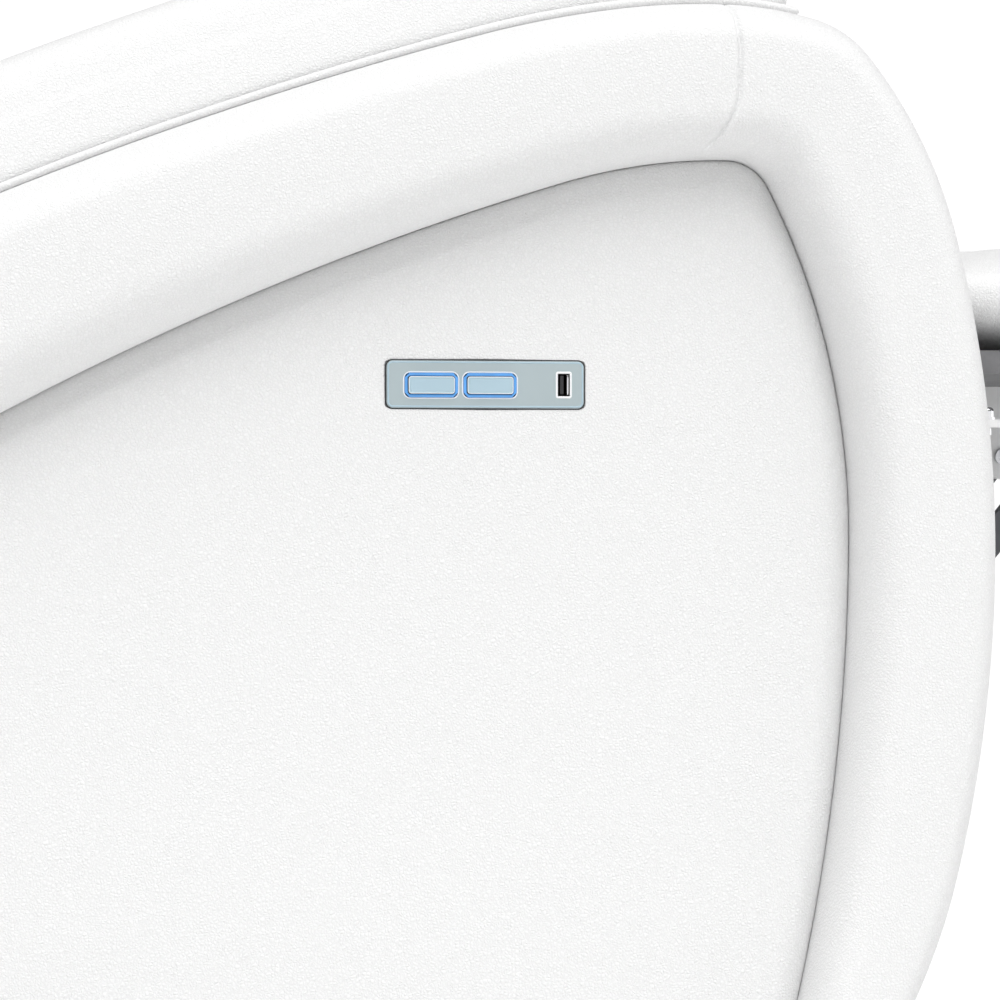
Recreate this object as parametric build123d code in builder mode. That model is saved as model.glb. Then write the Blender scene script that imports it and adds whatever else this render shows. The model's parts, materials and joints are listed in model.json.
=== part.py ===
"""Pedicure spa chair: two slab arms, an upholstered seat, a reclining back with a sliding headrest,
a folding leg rest on two diagonal struts, and a foot basin on drawer slides in the base.

Millimetres. +X is the front, +Z is up, the floor is z = 0 and the chair is centred on the origin.
Joint angles turn from +X towards +Z, about -Y.
"""

import os
from math import cos, radians, sin

from build123d import *

# ------------------------------------------------------------------ driving dimensions
SEAT_WIDTH = 540.0  # clear width between the two arms
ARM_THICKNESS = 162.0  # inner face to the outside of the roll
SEAT_TOP = 655.0
SEAT_CUSHION = 105.0  # cushion thickness
SEAT_BOARD = 15.0
SIDE_GAP = 12.0  # between the back cushion and an arm
SEAT_DEPTH = 582.0  # front edge to rear edge of the seat cushion
LEG_LENGTH = 300.0
LEG_CUSHION = 70.0
BACK_LENGTH = 710.0
BACK_CUSHION = 110.0
BACK_REST_ANGLE = 35.0  # from the vertical, as parked
HEADREST_HEIGHT = 150.0
BASIN_LENGTH = 410.0
SLIDE_SPACE = 27.0  # between the basin and a rail, for the drawer slides
BASIN_DEPTH = 120.0

FIT = 0.05  # radial clearance of a pin in its hole
SOFT_GAP = 0.3  # between a cushion and a neighbour that it doesn't lie flat on
SLIDE_GAP = 0.3

# arm slab outline: arcs (radius, turn in degrees), all turning clockwise, either side of the peak
ARM_PEAK = (-171.2, 783.7)  # x from the arm's front edge, z
ARM_REAR_ARCS = [(2418.0, 12.0), (642.0, 7.5), (435.0, 8.0)]
ARM_FRONT_ARCS = [(239.7, 14.0), (64.4, 36.0), (273.8, 25.0), (737.4, 15.0), (810.1, 14.0), (374.4, 12.0)]
ARM_CORNER_ARC = (225.0, 60.0)
ARM_BOTTOM_TURN = 27.0
# crease between the roll and the recessed field, in the same form
CREASE_PEAK = (-161.0, 692.3)
CREASE_REAR_ARCS = [(1874.0, 15.0), (342.6, 17.0)]
CREASE_FRONT_ARCS = [(29.4, 62.0), (422.6, 12.0), (454.9, 16.0), (1236.4, 13.0)]
CREASE_CORNER_ARC = (75.0, 74.0)
CREASE_BOTTOM_TURN = 24.0
INNER_PAD = 12.0
CORE_THICKNESS = 84.0
FIELD_PAD = 25.0
ROLL_EDGE = 20.0  # rounding of the roll
TOP_PAD = 80.0  # thickness of the arm top pad
TOP_PAD_WIDTH = 112.0
TOP_PAD_FRONT = -118.0  # its front end, from the arm's front edge
TOP_PAD_REAR = -800.0
PIPING = 5.4

# control plate on the right arm: x of its rear end from the arm's front edge, bottom z, size
PLATE = (-369.5, 543.0, 119.0, 28.3)
PLATE_PROUD = 3.0
PLATE_CORNER = 4.2
RING = (31.8, 14.3)  # lit ring round each button
RING_WALL = 2.7
RING_STARTS = (10.9, 46.1)  # rear edge of each ring from the plate's rear end
RING_RISE = 6.5  # ring's lower edge above the plate's
BUTTON_TRAVEL = 1.5
USB = (6.7, 12.8)
USB_START = 103.2
USB_RISE = 7.7
USB_SHELL = 0.8
HOUSING_DEPTH = 30.0

# steel frame
TUBE = 30.0
RAIL_HEIGHT = 50.0
RAIL_BOTTOM = 60.0
RAIL_GAP = 18.0  # from the arm's inner face to the rail
SEAT_RAIL_TOP = SEAT_TOP - SEAT_CUSHION - SEAT_BOARD
BACK_PIVOT = (-SEAT_DEPTH - 33.0, SEAT_RAIL_TOP + 25.0)
BASE_FRONT, BASE_REAR = -70.0, BACK_PIVOT[0] - 165.0
UPRIGHT_FRONTS = (-126.0, BACK_PIVOT[0] + 19.0)
SEAT_RAIL_FRONT, SEAT_RAIL_REAR = -36.0, BACK_PIVOT[0] - 35.0
CROSS_TUBE_FRONTS = (-36.0, -310.0, BACK_PIVOT[0] + 85.0)
FOOT_RADIUS = 24.0
FOOT_INSET = 40.0
SKIRT_BOTTOM, SKIRT_TOP = 20.0, 118.0
SHEET = 6.0

# leg rest and its struts
LEG_PIVOT = (-8.0, SEAT_RAIL_TOP + 5.0)
PIN = 6.0  # pin radius
LEG_REST_TRAVEL = -90.0
LEG_GAP = 6.0  # leg rest to the arm's front edge
LEG_BOARD_BOTTOM = SEAT_TOP - LEG_CUSHION - SEAT_BOARD
LEG_CUSHION_WIDTH = SEAT_WIDTH - 40.0
BOARD_INSET = 6.0
STRAP = 5.0
STRUT_TOP = (160.1, LEG_BOARD_BOTTOM - 50.0)
STRUT_LENGTH = 260.0
STRUT_SLOPE = 50.0
STRUT_RATIO = 0.66  # strut's turn per degree of the leg rest's
STRUT_WIDTH = 19.0
STRUT_THICKNESS = 8.0
STRUT_OFFSET = 66.0
SHAFT = 8.0
GUIDE_OFFSET = 81.0
GUIDE_THICKNESS = 6.0
GUIDE_CLEARANCE = 0.3
YOKE_CLEARANCE = 6.0

# backrest
BACK_TRAVEL = (-18.0, 35.0)
BACK_WIDTH = SEAT_WIDTH - 2 * SIDE_GAP
BACK_START = 90.0  # cushion's lower edge from the pivot, along the back
BACK_BOARD = SEAT_BOARD
LEVER = 110.0
LEVER_OFFSET = 130.0
HEADREST_WIDTH = 300.0
HEADREST_PAD = 90.0
HEADREST_GAP = 12.0
POST = 6.0
POST_OFFSET = 60.0
SHELL_WALL = 4.0  # moulded cover of the back
SHELL_REAR = 27.0  # its rear face, from the tubes' centre line
SHELL_INSET = 2.0  # its sides from the cushion's
SHELL_EDGE = 9.0

# basin drawer
BASIN_WIDTH = 2 * (SEAT_WIDTH / 2 - RAIL_GAP - TUBE - SLIDE_SPACE)
BASIN_BOTTOM = RAIL_BOTTOM + 24.0
GRIP = 120.0  # width of the notch that opens the drawer
JET = 6.0  # how far a jet nozzle stands out of the basin's wall
BASIN_WALL = 4.0
BASIN_FRONT_PANEL = 14.0
DRAIN = 20.0

# ------------------------------------------------------------------ derived places
ARM_IN = SEAT_WIDTH / 2
ARM_OUT = ARM_IN + ARM_THICKNESS
CORE_IN = ARM_IN + INNER_PAD
FIELD_IN = CORE_IN + CORE_THICKNESS
FIELD_OUT = FIELD_IN + FIELD_PAD
RAIL_OUT = ARM_IN - RAIL_GAP
RAIL_IN = RAIL_OUT - TUBE
RAIL_TOP = RAIL_BOTTOM + RAIL_HEIGHT
SEAT_BOARD_TOP = SEAT_RAIL_TOP + SEAT_BOARD
SEAT_CUSHION_BOTTOM = SEAT_TOP - SEAT_CUSHION
BACK_TOP = BACK_START + BACK_LENGTH
BACK_FACE = TUBE / 2 + BACK_BOARD  # board's front face, from the tubes' centre line
HEADREST_START = BACK_TOP + HEADREST_GAP
LEG_TIP = LEG_GAP + LEG_LENGTH
HEADREST_CORE = (-12.0, BACK_FACE + 10)  # its rear and front faces, from the tubes' centre line
HEADREST_CORE_TOP = HEADREST_START + HEADREST_HEIGHT - 12
REAR_TIP = (
    BACK_PIVOT[0]
    + HEADREST_CORE[0] * cos(radians(BACK_REST_ANGLE))
    - HEADREST_CORE_TOP * sin(radians(BACK_REST_ANGLE))
)
FRONT = -(LEG_TIP + REAR_TIP) / 2  # the arms' front edge, with the chair centred on the origin

os.makedirs("parts", exist_ok=True)


# ------------------------------------------------------------------ helpers
def finish(part, name):
    part.label = name
    export_step(part, f"parts/{name}.step")


def block(x, y, z, mode=Mode.ADD):
    """A box between pairs of limits; x counts from the arms' front edge."""
    with BuildSketch(Plane.XY.offset(z[0])) as base:
        with Locations((FRONT + (x[0] + x[1]) / 2, (y[0] + y[1]) / 2)):
            Rectangle(x[1] - x[0], y[1] - y[0])
    extrude(base.sketch, amount=z[1] - z[0], mode=mode)


def pair(x, y, z, mode=Mode.ADD):
    """The same box on both sides of the chair."""
    block(x, y, z, mode)
    block(x, (-y[1], -y[0]), z, mode)


def side_plane(y):
    """Vertical plane at y whose sketch axes are +X and +Z and whose normal is -Y."""
    return Plane(origin=(FRONT, y, 0), x_dir=(1, 0, 0), z_dir=(0, -1, 0))


def cross_rod(x, z, radius, y, mode=Mode.ADD):
    """A cylinder along Y between two limits."""
    with BuildSketch(side_plane(y[1])) as base:
        with Locations((x, z)):
            Circle(radius)
    extrude(base.sketch, amount=y[1] - y[0], mode=mode)


def long_rod(x, y, z, radius, mode=Mode.ADD):
    """A cylinder along X between two limits."""
    with BuildSketch(Plane(origin=(FRONT + x[0], y, z), z_dir=(1, 0, 0))) as base:
        Circle(radius)
    extrude(base.sketch, amount=x[1] - x[0], mode=mode)


def post(x, y, radius, z, mode=Mode.ADD):
    """A cylinder along Z between two limits."""
    with BuildSketch(Plane.XY.offset(z[0])) as base:
        with Locations((FRONT + x, y)):
            Circle(radius)
    extrude(base.sketch, amount=z[1] - z[0], mode=mode)


def arc_step(heading, turn):
    """Displacement, per unit radius, along a clockwise arc that starts at a heading."""
    start, end = radians(heading), radians(heading - turn)
    return (sin(start) - sin(end), cos(end) - cos(start))


def closed_outline(peak, rear_arcs, front_arcs, corner_arc, bottom_turn):
    """Start, first heading and every arc of a closed outline; the last two radii close the loop."""
    heading = sum(turn for _, turn in rear_arcs)
    arcs = list(rear_arcs) + list(front_arcs) + [corner_arc]
    first_heading = heading
    offset = [0.0, 0.0]
    for radius, turn in rear_arcs:
        step = arc_step(heading, turn)
        offset = [offset[0] + radius * step[0], offset[1] + radius * step[1]]
        heading -= turn
    start = (peak[0] - offset[0], peak[1] - offset[1])
    point, heading = list(start), first_heading
    for radius, turn in arcs:
        step = arc_step(heading, turn)
        point = [point[0] + radius * step[0], point[1] + radius * step[1]]
        heading -= turn
    rear_turn = 360 - bottom_turn - sum(turn for _, turn in arcs)
    bottom, rear = arc_step(heading, bottom_turn), arc_step(heading - bottom_turn, rear_turn)
    gap = (start[0] - point[0], start[1] - point[1])
    det = bottom[0] * rear[1] - bottom[1] * rear[0]
    bottom_radius = (gap[0] * rear[1] - gap[1] * rear[0]) / det
    rear_radius = (bottom[0] * gap[1] - bottom[1] * gap[0]) / det
    return start, first_heading, arcs + [(bottom_radius, bottom_turn), (rear_radius, rear_turn)]


def outline_face(plane, outline):
    """The face inside a closed outline, drawn on a side plane."""
    start, heading, arcs = outline
    with BuildSketch(plane) as face:
        with BuildLine():
            point, tangent = start, (cos(radians(heading)), sin(radians(heading)))
            for radius, turn in arcs:
                arc = JernArc(start=point, tangent=tangent, radius=radius, arc_size=-turn)
                point, tangent = arc @ 1, arc % 1
        make_face()
    return face.sketch


SLAB = closed_outline(ARM_PEAK, ARM_REAR_ARCS, ARM_FRONT_ARCS, ARM_CORNER_ARC, ARM_BOTTOM_TURN)
CREASE = closed_outline(
    CREASE_PEAK, CREASE_REAR_ARCS, CREASE_FRONT_ARCS, CREASE_CORNER_ARC, CREASE_BOTTOM_TURN
)


# ------------------------------------------------------------------ arms
def arm_layer(side, near, far):
    """Sketch plane of a layer of an arm, so that extruding by its thickness fills it."""
    return side_plane(-near if side < 0 else far)


def arm_slice(side, shape, near, far, mode=Mode.ADD, inset=0.0):
    """One layer of an arm: a closed outline, inset or outset, between two distances from the middle."""
    face = outline_face(arm_layer(side, near, far), shape)
    if inset:
        face = offset(face, amount=-inset, mode=Mode.PRIVATE)
    extrude(face, amount=far - near, mode=mode)


SPACER_PLACES = [(x, SEAT_RAIL_TOP - TUBE / 2) for x in (-120.0, -340.0, SEAT_RAIL_REAR + 90)]
SPACER_PLACES += [(front - TUBE / 2, RAIL_TOP + 190.0) for front in UPRIGHT_FRONTS]
SPACER = 12.0
HOUSING = (PLATE[0] + 4, PLATE[0] + PLATE[2] - 4, PLATE[1] + 4, PLATE[1] + PLATE[3] - 4)
HOUSING_BACK = FIELD_OUT - HOUSING_DEPTH
PLATE_FACE = FIELD_OUT + PLATE_PROUD


def cut_housing(gap):
    """The pocket for the control housing, through an arm layer of the right arm."""
    block(
        (HOUSING[0] - gap, HOUSING[1] + gap),
        (-FIELD_OUT - 1, -HOUSING_BACK + gap),
        (HOUSING[2] - gap, HOUSING[3] + gap),
        mode=Mode.SUBTRACT,
    )


for name, side in (("right", -1), ("left", 1)):
    with BuildPart() as arm_core:
        arm_slice(side, CREASE, CORE_IN, FIELD_IN, inset=SOFT_GAP)
        if side < 0:
            cut_housing(SOFT_GAP)
    finish(arm_core.part, f"{name}_arm_core")

    with BuildPart() as arm_field:
        arm_slice(side, CREASE, FIELD_IN, FIELD_OUT, inset=SOFT_GAP)
        if side < 0:
            cut_housing(SOFT_GAP)
    finish(arm_field.part, f"{name}_arm_field")

    with BuildPart() as arm_roll:
        arm_slice(side, SLAB, CORE_IN, ARM_OUT)
        arm_slice(side, CREASE, CORE_IN, ARM_OUT, mode=Mode.SUBTRACT)
        outside = arm_roll.faces().sort_by(Axis.Y)[0 if side < 0 else -1]
        fillet(outside.edges(), ROLL_EDGE)
    finish(arm_roll.part, f"{name}_arm_roll")

    with BuildPart() as arm_inner_pad:
        arm_slice(side, SLAB, ARM_IN, CORE_IN, inset=8.0)
        for x, z in SPACER_PLACES:
            near, far = sorted((side * ARM_IN, side * CORE_IN))
            cross_rod(x, z, SPACER + SOFT_GAP, (near, far), mode=Mode.SUBTRACT)
    finish(arm_inner_pad.part, f"{name}_arm_inner_pad")

    pad_in = ARM_IN + 8
    pad_out = pad_in + TOP_PAD_WIDTH
    with BuildPart() as arm_top_pad:
        arm_slice(side, SLAB, pad_in, pad_out, inset=-TOP_PAD)
        arm_slice(side, SLAB, pad_in, pad_out, mode=Mode.SUBTRACT, inset=-SOFT_GAP)
        near, far = sorted((side * pad_in, side * pad_out))
        block((TOP_PAD_REAR, TOP_PAD_FRONT), (near, far), (500.0, 1000.0), mode=Mode.INTERSECT)
        ends = arm_top_pad.edges().filter_by(Axis.Y)
        fillet(ends.group_by(Axis.Z)[-1] + ends.group_by(Axis.Z)[-2], 28.0)
        fillet(arm_top_pad.faces().filter_by(Axis.Y).edges().filter_by(lambda e: e.center().Z > 0), 6.0)
    finish(arm_top_pad.part, f"{name}_arm_top_pad")

    with BuildPart() as arm_piping:
        piping_in = pad_out + SOFT_GAP
        arm_slice(side, SLAB, piping_in, piping_in + PIPING, inset=-SOFT_GAP - PIPING)
        arm_slice(side, SLAB, piping_in, piping_in + PIPING, mode=Mode.SUBTRACT, inset=-SOFT_GAP)
        near, far = sorted((side * piping_in, side * (piping_in + PIPING)))
        block((TOP_PAD_REAR, TOP_PAD_FRONT), (near, far), (500.0, 1000.0), mode=Mode.INTERSECT)
    finish(arm_piping.part, f"{name}_arm_piping")

with BuildPart() as arm_spacers:
    for x, z in SPACER_PLACES:
        for near, far in ((-CORE_IN, -RAIL_OUT), (RAIL_OUT, CORE_IN)):
            cross_rod(x, z, SPACER, (near, far))
finish(arm_spacers.part, "arm_spacers")


# ------------------------------------------------------------------ controls on the right arm
def control_face(y):
    """Sketch plane at y whose origin is the rear lower corner of the control plate."""
    return Plane(origin=(FRONT + PLATE[0], y, PLATE[1]), x_dir=(1, 0, 0), z_dir=(0, -1, 0))


RING_CENTRES = [(start + RING[0] / 2, RING_RISE + RING[1] / 2) for start in RING_STARTS]
USB_CENTRE = (USB_START + USB[0] / 2, USB_RISE + USB[1] / 2)
BUTTON = (RING[0] - 2 * RING_WALL - 2 * SLIDE_GAP, RING[1] - 2 * RING_WALL - 2 * SLIDE_GAP)
BUTTON_DEPTH = 8.0
BUTTON_PROUD = 2.0
RING_PROUD = 0.6
RING_DEPTH = 4.0

with BuildPart() as control_plate:
    with BuildSketch(control_face(-FIELD_OUT)):
        with Locations((PLATE[2] / 2, PLATE[3] / 2)):
            RectangleRounded(PLATE[2], PLATE[3], PLATE_CORNER)
        with Locations(*RING_CENTRES):
            RectangleRounded(RING[0], RING[1], 3.0, mode=Mode.SUBTRACT)
        with Locations(USB_CENTRE):
            Rectangle(USB[0] + 2 * USB_SHELL, USB[1] + 2 * USB_SHELL, mode=Mode.SUBTRACT)
    extrude(amount=PLATE_PROUD)
    chamfer(control_plate.faces().sort_by(Axis.Y)[0].outer_wire().edges(), 0.6)
finish(control_plate.part, "control_plate")

with BuildPart() as control_housing:
    block(HOUSING[:2], (-FIELD_OUT, -HOUSING_BACK), HOUSING[2:])
    with BuildSketch(control_face(-FIELD_OUT + RING_DEPTH - RING_PROUD)) as ring_pockets:
        with Locations(*RING_CENTRES):
            RectangleRounded(RING[0], RING[1], 3.0)
    extrude(ring_pockets.sketch, amount=RING_DEPTH, mode=Mode.SUBTRACT)
    with BuildSketch(control_face(-HOUSING_BACK - 8.0)) as button_bores:
        with Locations(*RING_CENTRES):
            RectangleRounded(BUTTON[0] + 2 * SLIDE_GAP, BUTTON[1] + 2 * SLIDE_GAP, 1.5)
    extrude(button_bores.sketch, amount=HOUSING_DEPTH, mode=Mode.SUBTRACT)
    with BuildSketch(control_face(-HOUSING_BACK - 6.0)) as usb_bore:
        with Locations(USB_CENTRE):
            Rectangle(USB[0] + 2 * USB_SHELL, USB[1] + 2 * USB_SHELL)
    extrude(usb_bore.sketch, amount=HOUSING_DEPTH, mode=Mode.SUBTRACT)
finish(control_housing.part, "control_housing")

with BuildPart() as light_rings:
    with BuildSketch(control_face(-FIELD_OUT + RING_DEPTH - RING_PROUD)):
        with Locations(*RING_CENTRES):
            RectangleRounded(RING[0], RING[1], 3.0)
            RectangleRounded(RING[0] - 2 * RING_WALL, RING[1] - 2 * RING_WALL, 1.5, mode=Mode.SUBTRACT)
    extrude(amount=RING_DEPTH + PLATE_PROUD)
finish(light_rings.part, "light_rings")

for name, centre in (("back_button", RING_CENTRES[0]), ("leg_rest_button", RING_CENTRES[1])):
    with BuildPart() as button:
        with BuildSketch(control_face(-FIELD_OUT - PLATE_PROUD - BUTTON_PROUD + BUTTON_DEPTH + 4)):
            with Locations(centre):
                RectangleRounded(BUTTON[0], BUTTON[1], 1.2)
        extrude(amount=BUTTON_DEPTH + 4)
        fillet(button.faces().sort_by(Axis.Y)[0].edges(), 0.8)
    finish(button.part, name)

with BuildPart() as usb_socket:
    with BuildSketch(control_face(-HOUSING_BACK - 6.0)):
        with Locations(USB_CENTRE):
            Rectangle(USB[0] + 2 * USB_SHELL, USB[1] + 2 * USB_SHELL)
    extrude(amount=PLATE_FACE - HOUSING_BACK - 6.0)
    with BuildSketch(control_face(-HOUSING_BACK - 10.0)) as slot:
        with Locations(USB_CENTRE):
            Rectangle(*USB)
        with Locations((USB_CENTRE[0] - 1.2, USB_CENTRE[1])):
            Rectangle(2.0, USB[1] - 2.0, mode=Mode.SUBTRACT)
    extrude(slot.sketch, amount=HOUSING_DEPTH, mode=Mode.SUBTRACT)
finish(usb_socket.part, "usb_socket")

# ------------------------------------------------------------------ steel base
RAIL_Y = (RAIL_IN, RAIL_OUT)
SEAT_RAIL_BOTTOM = SEAT_RAIL_TOP - TUBE
UPRIGHT_X = [(front - TUBE, front) for front in UPRIGHT_FRONTS]

with BuildPart() as side_frames:
    pair((BASE_REAR, BASE_FRONT), RAIL_Y, (RAIL_BOTTOM, RAIL_TOP))
    pair((SEAT_RAIL_REAR, SEAT_RAIL_FRONT), RAIL_Y, (SEAT_RAIL_BOTTOM, SEAT_RAIL_TOP))
    for x in UPRIGHT_X:
        pair(x, RAIL_Y, (RAIL_TOP, SEAT_RAIL_BOTTOM))
finish(side_frames.part, "side_frames")

ACTUATOR_TUBE_TOP = SEAT_RAIL_TOP - 205.0
CROSS_BAR = 12.0
with BuildPart() as cross_members:
    for front in CROSS_TUBE_FRONTS:
        block((front - TUBE, front), (-RAIL_IN, RAIL_IN), (SEAT_RAIL_BOTTOM, SEAT_RAIL_TOP))
    block(UPRIGHT_X[1], (-RAIL_IN, RAIL_IN), (ACTUATOR_TUBE_TOP - TUBE, ACTUATOR_TUBE_TOP))
    for rear in (BASE_FRONT - 45, BASE_FRONT - 430):
        block((rear, rear + 40), (-RAIL_IN, RAIL_IN), (RAIL_BOTTOM, RAIL_BOTTOM + CROSS_BAR))
    block((BASE_REAR, BASE_REAR + TUBE), (-RAIL_IN, RAIL_IN), (RAIL_BOTTOM, RAIL_TOP))
finish(cross_members.part, "cross_members")

FOOT_PLACES = [
    (x, side * (RAIL_IN + TUBE / 2))
    for x in (BASE_FRONT - FOOT_INSET, BASE_REAR + FOOT_INSET)
    for side in (-1, 1)
]
with BuildPart() as levelling_feet:
    for x, y in FOOT_PLACES:
        post(x, y, FOOT_RADIUS, (0, 12))
        post(x, y, PIN, (12, RAIL_BOTTOM))
        post(x, y, 2 * PIN, (12, 22))
finish(levelling_feet.part, "levelling_feet")

with BuildPart() as side_skirts:
    pair((BASE_REAR, BASE_FRONT), (RAIL_OUT, RAIL_OUT + 10), (SKIRT_BOTTOM, SKIRT_TOP))
finish(side_skirts.part, "side_skirts")

REAR_COVER_TOP = 440.0
INLET = (20.0, 28.0)  # height, width
INLET_PLACE = (-150.0, 150.0)  # y, z
with BuildPart() as rear_cover:
    block((BASE_REAR - SHEET, BASE_REAR), (-RAIL_OUT, RAIL_OUT), (SKIRT_BOTTOM, REAR_COVER_TOP))
    block(
        (BASE_REAR - SHEET, BASE_REAR),
        (INLET_PLACE[0] - INLET[1] / 2, INLET_PLACE[0] + INLET[1] / 2),
        (INLET_PLACE[1] - INLET[0] / 2, INLET_PLACE[1] + INLET[0] / 2),
        mode=Mode.SUBTRACT,
    )
    block(
        (BASE_REAR - SHEET, BASE_REAR),
        (INLET_PLACE[0] + 22, INLET_PLACE[0] + 36),
        (INLET_PLACE[1] - 10, INLET_PLACE[1] + 10),
        mode=Mode.SUBTRACT,
    )
finish(rear_cover.part, "rear_cover")

with BuildPart() as power_inlet:
    y, z = INLET_PLACE
    block(
        (BASE_REAR - SHEET, BASE_REAR + 22),
        (y - INLET[1] / 2, y + INLET[1] / 2),
        (z - INLET[0] / 2, z + INLET[0] / 2),
    )
    block(
        (BASE_REAR - SHEET, BASE_REAR + 16),
        (y - INLET[1] / 2 + 2, y + INLET[1] / 2 - 2),
        (z - INLET[0] / 2 + 2, z + INLET[0] / 2 - 2),
        mode=Mode.SUBTRACT,
    )
    for dy, dz in ((-7, -3), (7, -3), (0, 3)):
        block((BASE_REAR - 2, BASE_REAR + 16), (y + dy - 1, y + dy + 1), (z + dz - 2, z + dz + 2))
    block((BASE_REAR, BASE_REAR + 22), (y - INLET[1] / 2 - 5, y - INLET[1] / 2), (z - 12, z + 12))
finish(power_inlet.part, "power_inlet")

with BuildPart() as power_switch:
    y, z = INLET_PLACE[0] + 29, INLET_PLACE[1]
    block((BASE_REAR - SHEET, BASE_REAR + 6), (y - 6.5, y + 6.5), (z - 8.5, z + 8.5))
finish(power_switch.part, "power_switch")

DECK_FRONT = BASE_REAR + 140.0
with BuildPart() as equipment_deck:
    block((BASE_REAR, DECK_FRONT), (-RAIL_OUT, RAIL_OUT), (RAIL_TOP, RAIL_TOP + SHEET))
finish(equipment_deck.part, "equipment_deck")

with BuildPart() as power_supply:
    block((BASE_REAR + 45, DECK_FRONT - 15), (-60, 120), (RAIL_TOP + SHEET, RAIL_TOP + SHEET + 55))
    fillet(power_supply.edges().filter_by(Axis.Z), 6.0)
finish(power_supply.part, "power_supply")

# ------------------------------------------------------------------ seat
with BuildPart() as seat_board:
    block((-SEAT_DEPTH + 2, SEAT_RAIL_FRONT - 4), (-RAIL_OUT, RAIL_OUT), (SEAT_RAIL_TOP, SEAT_BOARD_TOP))
finish(seat_board.part, "seat_board")

with BuildPart() as seat_cushion:
    width = ARM_IN - 7
    block((2 - SEAT_DEPTH, 2.0), (-width, width), (SEAT_CUSHION_BOTTOM, SEAT_TOP))
    fillet(seat_cushion.edges().filter_by(Axis.Z), 22.0)
    fillet(seat_cushion.faces().sort_by(Axis.Z)[-1].edges(), 18.0)
finish(seat_cushion.part, "seat_cushion")

BRACKET_IN = RAIL_OUT - 16
BRACKET = 8.0
BACK_BRACKET_IN = RAIL_IN + 2
with BuildPart() as hinge_brackets:
    pair((SEAT_RAIL_FRONT, 6.0), (BRACKET_IN, BRACKET_IN + BRACKET), (SEAT_RAIL_TOP - 15, LEG_PIVOT[1] + 9.5))
    x, z = BACK_PIVOT
    pair((x - 20, x + 20), (BACK_BRACKET_IN, BACK_BRACKET_IN + BRACKET), (SEAT_RAIL_TOP, z + 22))
    for side in (-1, 1):
        near, far = sorted((side * BRACKET_IN, side * (BRACKET_IN + BRACKET)))
        cross_rod(LEG_PIVOT[0], LEG_PIVOT[1], PIN + FIT, (near, far), mode=Mode.SUBTRACT)
        near, far = sorted((side * BACK_BRACKET_IN, side * (BACK_BRACKET_IN + BRACKET)))
        cross_rod(x, z, SHAFT + FIT, (near, far), mode=Mode.SUBTRACT)
finish(hinge_brackets.part, "hinge_brackets")

# ------------------------------------------------------------------ leg rest
LEG_X = (LEG_GAP, LEG_TIP)
LEG_CUSHION_BOTTOM = LEG_BOARD_BOTTOM + SEAT_BOARD
STRAP_Z = (LEG_PIVOT[1] - 4, LEG_PIVOT[1] - 4 + STRAP)
STRAP_Y = (BRACKET_IN - 15, BRACKET_IN - 2)
STRAP_END = 250.0
LUG_Y = (STRUT_OFFSET - STRUT_THICKNESS / 2 - 10, STRUT_OFFSET - STRUT_THICKNESS / 2 - 2)

with BuildPart() as leg_board:
    half = LEG_CUSHION_WIDTH / 2 - BOARD_INSET
    block(LEG_X, (-half, half), (LEG_BOARD_BOTTOM, LEG_CUSHION_BOTTOM))
finish(leg_board.part, "leg_board")

with BuildPart() as leg_cushion:
    half = LEG_CUSHION_WIDTH / 2
    block(LEG_X, (-half, half), (LEG_CUSHION_BOTTOM, SEAT_TOP))
    fillet(leg_cushion.edges().filter_by(Axis.Z), 25.0)
    fillet(leg_cushion.faces().sort_by(Axis.Z)[-1].edges(), 18.0)
finish(leg_cushion.part, "leg_cushion")

with BuildPart() as leg_rest_brackets:
    pair((LEG_PIVOT[0], STRAP_END), STRAP_Y, STRAP_Z)
    for x in (30.0, STRAP_END - 20):
        pair((x, x + 12), STRAP_Y, (STRAP_Z[1], LEG_BOARD_BOTTOM))
    x, z = STRUT_TOP
    for side in (-1, 1):
        near, far = sorted((side * STRAP_Y[0], side * STRAP_Y[1]))
        cross_rod(*LEG_PIVOT, 9.0, (near, far))
        cross_rod(*LEG_PIVOT, PIN, (near, far), mode=Mode.SUBTRACT)
        near, far = sorted((side * LUG_Y[0], side * LUG_Y[1]))
        block((x - 16, x + 16), (near, far), (z, LEG_BOARD_BOTTOM))
        cross_rod(x, z, 16.0, (near, far))
        cross_rod(x, z, PIN, (near, far), mode=Mode.SUBTRACT)
finish(leg_rest_brackets.part, "leg_rest_brackets")

with BuildPart() as leg_rest_pins:
    for side in (-1, 1):
        near, far = sorted((side * (STRAP_Y[0] - 2), side * (BRACKET_IN + BRACKET + 2)))
        cross_rod(*LEG_PIVOT, PIN, (near, far))
        near, far = sorted((side * (LUG_Y[0] - 2), side * (STRUT_OFFSET + STRUT_THICKNESS / 2 + 2)))
        cross_rod(*STRUT_TOP, PIN, (near, far))
finish(leg_rest_pins.part, "leg_rest_pins")

NUT = 5.0
NUT_PLACES = [(55.0, STRAP_Z[1]), (205.0, STRAP_Z[1])]
with BuildPart() as cap_nuts:
    for x, z in NUT_PLACES:
        for side in (-1, 1):
            y = side * (STRAP_Y[0] + STRAP_Y[1]) / 2
            post(x, y, NUT, (z, z + 1.5))
            post(x, y, NUT - 1, (z + 1.5, z + 8))
            post(x, y, NUT / 2, (z - STRAP - 5, z - STRAP))
    fillet(cap_nuts.faces().filter_by(Axis.Z).group_by(Axis.Z)[-1].edges(), 2.5)
finish(cap_nuts.part, "cap_nuts")


# ------------------------------------------------------------------ struts
def turned(point, centre, angle):
    """A point turned about a centre, in the side view."""
    a = radians(angle)
    x, z = point[0] - centre[0], point[1] - centre[1]
    return (centre[0] + x * cos(a) - z * sin(a), centre[1] + x * sin(a) + z * cos(a))


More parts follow.
